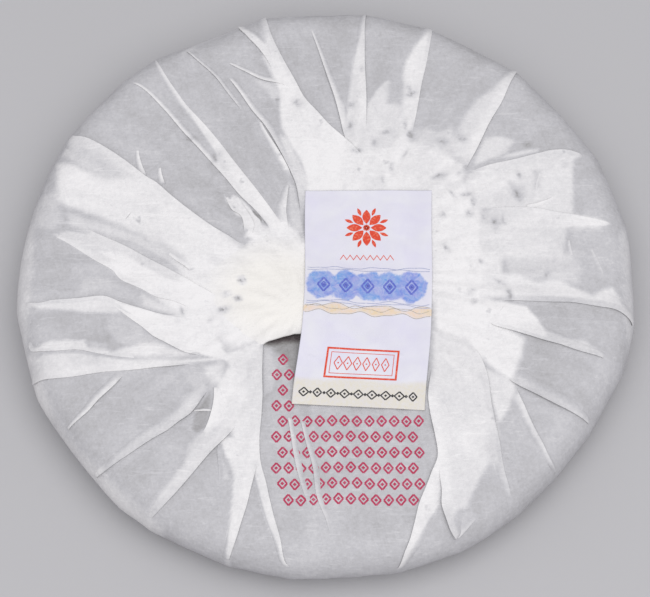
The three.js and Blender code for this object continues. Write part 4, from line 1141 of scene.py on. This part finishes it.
# %% Printing paper
def slip_material():
    """Lilac white clouded by pulp, then cream, sand and blue mixed in, each by its own field."""
    material, place = new_material("uncoated_printing_paper")
    pulp = mottled(material, place, 7.0, 0.965, 1.01)
    patchy = mottled(material, place, 0.9, 0.55, 1.0, detail=2.0, picked=(0.3, 0.65))
    tint = mottled(material, place, 8.0, 0.0, 0.8, bend=0.5)
    wash = mottled(material, place, 4.0, detail=4.0, roughness=0.6, bend=0.6)
    pool = mottled(material, place, 2.2, 0.5, 1.0, detail=5.0, roughness=0.65, bend=1.2)
    feather = mottled(material, place, 1.3, -0.22, 0.22, detail=4.0, roughness=0.6, bend=0.5)
    paper, washed_blue, washed_sand = (
        add_node(material, "ShaderNodeMix", {0: share, 6: linear(first), 7: linear(second)},
                 data_type="RGBA").outputs[2]
        for share, first, second in ((tint, "#e5e4eb", "#dcd9ea"), (wash, "#7a85d8", "#5896dc"),
                                     (wash, "#e6d1a8", "#edd4c6")))
    base = add_node(material, "ShaderNodeMix", {0: 1.0, 6: paper, 7: pulp}, data_type="RGBA",
                    blend_type="MULTIPLY").outputs[2]
    cream, sand, blue = (
        add_node(material, "ShaderNodeAttribute", attribute_name=name).outputs["Fac"]
        for name in ("cream", "sand", "blue"))
    uneven = add_node(material, "ShaderNodeMath", {0: blue, 1: feather}, operation="ADD").outputs[0]
    blue = add_node(material, "ShaderNodeMapRange", {
        "Value": uneven, "From Min": 0.26, "From Max": 0.74}).outputs["Result"]
    for field, strength, colour in ((cream, patchy, linear("#e0dacd")), (sand, patchy, washed_sand),
                                    (blue, pool, washed_blue)):
        share = add_node(material, "ShaderNodeMath", {0: field, 1: strength}, operation="MULTIPLY")
        base = add_node(material, "ShaderNodeMix", {0: share.outputs[0], 6: base, 7: colour},
                        data_type="RGBA").outputs[2]
    return finish_material(material, {"Base Color": base, "Roughness": 0.62, "IOR": 1.48})


# %% Slip
def slip_slab():
    """Two grids, the upper thickness above the lower, with the edges joined by a band of quads."""
    right, up = np.meshgrid(np.linspace(0, 1, SLIP_COLUMNS), np.linspace(0, 1, SLIP_ROWS))
    upper, lower = slip_point(right, up, SLIP_THICKNESS), slip_point(right, up, 0.0)
    count = SLIP_COLUMNS * SLIP_ROWS
    number = np.arange(count).reshape(SLIP_ROWS, SLIP_COLUMNS)
    rim = np.concatenate([number[0, :-1], number[:-1, -1], number[-1, :0:-1], number[:0:-1, 0]])
    following = np.roll(rim, -1)
    band = np.stack([rim, rim + count, following + count, following], axis=-1)
    fields = {key: np.stack([value, value]) for key, value in printed_fields(right, up).items()}
    faces = grid_faces(SLIP_ROWS, SLIP_COLUMNS)
    return np.stack([upper, lower]), [faces, faces[:, ::-1] + count, band], fields


slip_paper = slip_material()
make_piece("printed_slip", [slip_slab()], slip_paper, "paper_slip")

# %% [markdown]
# ## Ink shapes
# Sharp print is laid on as thin shapes that follow the paper, a few hundredths of a millimetre
# above it: rows of small lozenges, a plain frame, wave lines, and a rosette of petals. An image
# would blur close up and needs a file, while shapes stay crisp and are made here. A bar is a small
# grid mapped on to the paper by a place function, and a lozenge is four bars.

# %% Ink helpers
INK_LIFT = 0.035
BAR_STEP = 0.6


def ink_material(name, colour, pale):
    """Ink soaked into paper: matt, with patches where it took less well."""
    material, place = new_material(name)
    worn = mottled(material, place, 0.7, picked=(0.5, 0.72))
    base = add_node(material, "ShaderNodeMix", {0: worn, 6: linear(colour), 7: linear(pale)},
                    data_type="RGBA").outputs[2]
    return finish_material(material, {"Base Color": base, "Roughness": 0.66})


def patch(place, first, second, rows, columns):
    """A grid of ink: first and second are shares in each direction, place turns them to points."""
    a, b = np.meshgrid(np.linspace(0, 1, columns), np.linspace(0, 1, rows))
    return place(first(a, b), second(a, b)), [grid_faces(rows, columns)], {}


def slip_mm(across, down):
    """A place on the slip in mm from its top left corner, just above its upper face."""
    return slip_point(across / SLIP_WIDTH, 1 - down / SLIP_LENGTH, SLIP_THICKNESS + INK_LIFT)


def bar(place, x, y, wide, high, tilt=0.0):
    """A bar centred at x, y, turned by tilt in degrees."""
    c, s = math.cos(math.radians(tilt)), math.sin(math.radians(tilt))
    return patch(place, lambda a, b: x + (a - 0.5) * wide * c - (b - 0.5) * high * s,
                 lambda a, b: y + (a - 0.5) * wide * s + (b - 0.5) * high * c,
                 max(3, int(high / BAR_STEP)), max(3, int(wide / BAR_STEP)))


def petal(place, x, y, inner, outer, wide, turn):
    """A pointed oval from inner to outer radius: width is a half sine along its length."""
    c, s = math.cos(turn), math.sin(turn)

    def along(a):
        return inner + a * (outer - inner)

    def aside(a, b):
        return (b - 0.5) * wide * np.sin(np.pi * np.clip(a, 0.02, 0.98)) ** 0.8

    return patch(place, lambda a, b: x + along(a) * c - aside(a, b) * s,
                 lambda a, b: y + along(a) * s + aside(a, b) * c, 7, 15)


def ribbon(place, across, down, wide):
    """A thin line through the given places, half its width above and half below."""
    edge = np.linspace(-0.5, 0.5, 3)[:, None] * wide
    return place(across[None, :] + 0.0 * edge, down[None, :] + edge), [grid_faces(3, len(across))], {}


def lozenge(place, x, y, wide, high, stroke):
    """Four bars along the sides of a rhombus, and a small bar in its middle."""
    tilt, side = math.degrees(math.atan2(high, wide)), 0.5 * math.hypot(wide, high)
    sides = [bar(place, x + wide / 4 * a, y + high / 4 * b, side, stroke, -a * b * tilt)
             for a in (-1, 1) for b in (-1, 1)]
    return sides + [bar(place, x, y, stroke * 1.5, stroke * 1.5, 45)]


example_bars = lozenge(slip_mm, 5.0, 5.0, 3.0, 3.6, 0.6)
print("faces in a lozenge:", sum(len(faces[0]) for points, faces, numbers in example_bars))

# %% Slip print
vermilion = ink_material("vermilion_press_ink", "#dc4226", "#ea8264")
line_blue = ink_material("grey_blue_line_ink", "#a3a9c8", "#c9cbdc")
line_brown = ink_material("brown_line_ink", "#b3a99c", "#d2ccc4")
motif_blue = ink_material("blue_band_ink", "#5f6cc6", "#8790d6")
print_black = ink_material("offset_black_ink", "#333234", "#6d6b6a")
ROSETTE_CENTRE = (20.3, 13.6)
ROSETTE_RADIUS = 7.9
FRAME_BOX = (9.3, 57.8, 22.6, 9.8)


def rosette_shapes():
    """A rosette: eight petals, a short one beyond each gap, and a small star in the middle."""
    x, y = ROSETTE_CENTRE
    eighth = math.pi / 4
    shapes = []
    for k in range(8):
        shapes.append(petal(slip_mm, x, y, 1.5, ROSETTE_RADIUS * 0.82, 2.7, k * eighth))
        shapes.append(petal(slip_mm, x, y, ROSETTE_RADIUS * 0.6, ROSETTE_RADIUS * 0.97, 1.1,
                            (k + 0.5) * eighth))
    return shapes + [petal(slip_mm, x, y, 0.1, 1.25, 0.6, k * math.pi / 6) for k in range(12)]


def lozenge_row(place, x, y, count, pitch, wide, high, stroke, seed):
    """A row of small lozenges of uneven width."""
    widths = np.random.default_rng(seed).uniform(0.78, 1.0, count)
    rows = [lozenge(place, x + k * pitch, y, wide * widths[k], high, stroke) for k in range(count)]
    return [shape for row in rows for shape in row]


def frame_shapes():
    """A plain frame of four bars, a thin frame inside it and one row of lozenges."""
    x, y, wide, high = FRAME_BOX
    mid_x, mid_y = x + wide / 2, y + high / 2
    shapes = []
    for inset, stroke in ((0.0, 0.62), (1.3, 0.2)):
        long, tall = wide - 2 * inset, high - 2 * inset
        for end in (-1, 1):
            shapes.append(bar(slip_mm, mid_x, mid_y + end * tall / 2, long + stroke, stroke))
            shapes.append(bar(slip_mm, mid_x + end * long / 2, mid_y, stroke, tall))
    return shapes + lozenge_row(slip_mm, mid_x - 7.5, mid_y, 6, 3.0, 2.8, 4.6, 0.3, seed=5)


def wave_lines(lines):
    """Thin lines across the slip: a height plus two sines."""
    across = np.linspace(0.8, SLIP_WIDTH - 0.8, 160)
    return [ribbon(slip_mm, across, down + high * np.sin(across / size + start)
                   + 0.35 * high * np.sin(2.3 * across / size), 0.2)
            for down, high, size, start in lines]


def sand_lines():
    """The two edges of the sand-coloured band, drawn in."""
    across = np.linspace(0.4, SLIP_WIDTH - 0.4, 160)
    return [ribbon(slip_mm, across, edge, 0.22) for edge in sand_edges(across)]


def band_motif():
    """A lozenge in each cloud of the band, with a smaller one inside."""
    shapes = []
    for middle in CLOUD_MIDDLES:
        shapes += lozenge(slip_mm, middle, BAND_MIDDLE, 4.0, 5.2, 0.62)
        shapes += lozenge(slip_mm, middle, BAND_MIDDLE, 1.7, 2.2, 0.4)
    return shapes


def zigzag(left, right, down, high, step, wide):
    """A thin line that runs up and down in even steps."""
    across = np.linspace(left, right, 161)
    return [ribbon(slip_mm, across, down + high * np.abs((across - left) / step % 2 - 1), wide)]


def lozenge_chain(left, down, count, pitch):
    """Lozenges in a row with a small square on its corner between each two."""
    shapes = lozenge_row(slip_mm, left, down, count, pitch, 3.2, 3.0, 0.46, seed=9)
    return shapes + [bar(slip_mm, left + (k + 0.5) * pitch, down, 0.85, 0.85, 45)
                     for k in range(count - 1)]


band_lines = wave_lines([(28.4, 0.30, 2.1, 0.0), (29.2, 0.25, 3.1, 1.0), (41.0, 0.45, 2.7, 0.5),
                         (41.8, 0.5, 3.3, 2.0)])
for name, shapes, ink in (
        ("rosette_print", rosette_shapes() + zigzag(11.5, 29.1, 23.6, 1.7, 1.1, 0.42), vermilion),
        ("frame_print", frame_shapes(), vermilion),
        ("lozenge_chain_print", lozenge_chain(3.4, 73.2, 9, 4.3), print_black),
        ("band_motif_print", band_motif(), motif_blue),
        ("band_line_print", band_lines, line_blue),
        ("sand_line_print", sand_lines() + wave_lines([(43.4, 0.7, 2.2, 3.0)]), line_brown)):
    make_piece(name, shapes, ink)

# %% [markdown]
# The panel of the wrapper that shows below the slip is printed in crimson with an even lattice of
# lozenges, every second row set half a step over. It runs on up beside the slip. The lozenges are
# the same bars, mapped on to the wrapper instead of the slip.

# %% Panel print
crimson = ink_material("crimson_print_ink", "#b42f54", "#c4637f")
PANEL_ROWS = [(-78.6, -17.0, 29.6), (-73.3, -16.4, 31.0), (-68.0, -17.6, 32.4), (-62.7, -17.8, 33.0),
              (-57.4, -18.2, 32.6), (-52.1, -18.4, 31.6), (-46.8, -18.2, -9.0), (-41.5, -17.8, -9.0),
              (-36.2, -17.2, -9.0), (-30.9, -15.6, -9.0), (-25.6, -12.4, -9.0)]
PANEL_PITCH = 3.9
PANEL_WIDTH = 3.0
PANEL_HEIGHT = 3.6
PANEL_STROKE = 0.6


def on_panel(x, y):
    """A place on the single sheet, given in plan mm, just above the paper."""
    return on_paper(x, y, INK_LIFT)


def panel_shapes():
    """Rows of lozenges at one pitch, every second row half a pitch over, between its own limits."""
    shapes = []
    for row, (y, left, right) in enumerate(PANEL_ROWS):
        places = np.arange(-30, 40) * PANEL_PITCH + 0.5 * PANEL_PITCH * (row % 2)
        inside = (places > left + PANEL_WIDTH / 2) & (places < right - PANEL_WIDTH / 2)
        for x in places[inside]:
            shapes += lozenge(on_panel, x, y, PANEL_WIDTH, PANEL_HEIGHT, PANEL_STROKE)
    return shapes


make_piece("panel_print", panel_shapes(), crimson)

# %% [markdown]
# ## Floor, light and camera
# The floor is plain and pale. One wide soft light hangs above, towards the near side, and an even
# grey world fills the shadows. The camera looks down at the cake from the near side, 25 degrees off
# square, from about 0.9 m, which is what the outline in the reference asks for.

# %% Stage
IMAGE_WIDTH = 650
CAMERA_TILT = 25.0
CAMERA_DISTANCE = 0.9
FOCAL_PIXELS = 2760.4
SENSOR_WIDTH = 36.0
AIM_PIXEL = (326.0, 286.1)
IMAGE_CENTRE = (325.0, 298.5)
FLOOR_HALF = 3.0
FLOOR_CLOUD_SIZE = 1000 / 6
KEY_PLACE, KEY_SIZE, KEY_POWER = (0.13, -0.42, 1.45), 2.0, 19.0
ROOM_COLOUR, ROOM_STRENGTH = "#e4e4e8", 0.645


def floor_material():
    """Painted board: pale, matt, with a faint cloudiness."""
    material, place = new_material("matt_painted_board")
    shade = mottled(material, place, FLOOR_CLOUD_SIZE, 0.97, 1.02, detail=2.0, picked=(0.0, 1.0))
    colour = add_node(material, "ShaderNodeMix", {0: 1.0, 6: linear("#bcbbbd"), 7: shade},
                      data_type="RGBA", blend_type="MULTIPLY").outputs[2]
    return finish_material(material, {"Base Color": colour, "Roughness": 0.9})


def make_floor():
    """One large square at the height the cake rests on."""
    mesh = bpy.data.meshes.new("floor")
    corners = [(FLOOR_HALF * a, FLOOR_HALF * b, 0) for a, b in ((-1, -1), (1, -1), (1, 1), (-1, 1))]
    mesh.from_pydata(corners, [], [(0, 1, 2, 3)])
    mesh.materials.append(floor_material())
    floor = bpy.data.objects.new("floor", mesh)
    bpy.context.scene.collection.objects.link(floor)


def make_light(name, place, size, power):
    """A square soft light aimed at the cake."""
    data = bpy.data.lights.new(name, "AREA")
    data.shape = "SQUARE"
    data.size = size
    data.energy = power
    light = bpy.data.objects.new(name, data)
    light.location = place
    light.rotation_euler = (-Vector(place)).to_track_quat("-Z", "Y").to_euler()
    bpy.context.scene.collection.objects.link(light)


def make_camera():
    """A pinhole at the tilt and distance above, shifted so that the aim falls on its pixel."""
    tilt = math.radians(CAMERA_TILT)
    aim = np.array([PLAN_SHIFT[0], PLAN_SHIFT[1], CAKE_THICKNESS / 2]) * MM
    data = bpy.data.cameras.new("camera")
    data.sensor_width = SENSOR_WIDTH
    data.lens = SENSOR_WIDTH * FOCAL_PIXELS / IMAGE_WIDTH
    data.shift_x = -(AIM_PIXEL[0] - IMAGE_CENTRE[0]) / IMAGE_WIDTH
    data.shift_y = -(IMAGE_CENTRE[1] - AIM_PIXEL[1]) / IMAGE_WIDTH
    camera = bpy.data.objects.new("camera", data)
    camera.location = aim + CAMERA_DISTANCE * np.array([0.0, -math.sin(tilt), math.cos(tilt)])
    camera.rotation_euler = (tilt, 0.0, 0.0)
    bpy.context.scene.collection.objects.link(camera)
    bpy.context.scene.camera = camera
    print("camera at, m:", [round(value, 3) for value in camera.location])


make_floor()
make_light("soft_key", KEY_PLACE, KEY_SIZE, KEY_POWER)
make_camera()
world = bpy.data.worlds.new("grey_room")
world.use_nodes = True
world.node_tree.nodes["Background"].inputs["Color"].default_value = linear(ROOM_COLOUR)
world.node_tree.nodes["Background"].inputs["Strength"].default_value = ROOM_STRENGTH
bpy.context.scene.world = world
bpy.context.scene.view_settings.view_transform = "Standard"
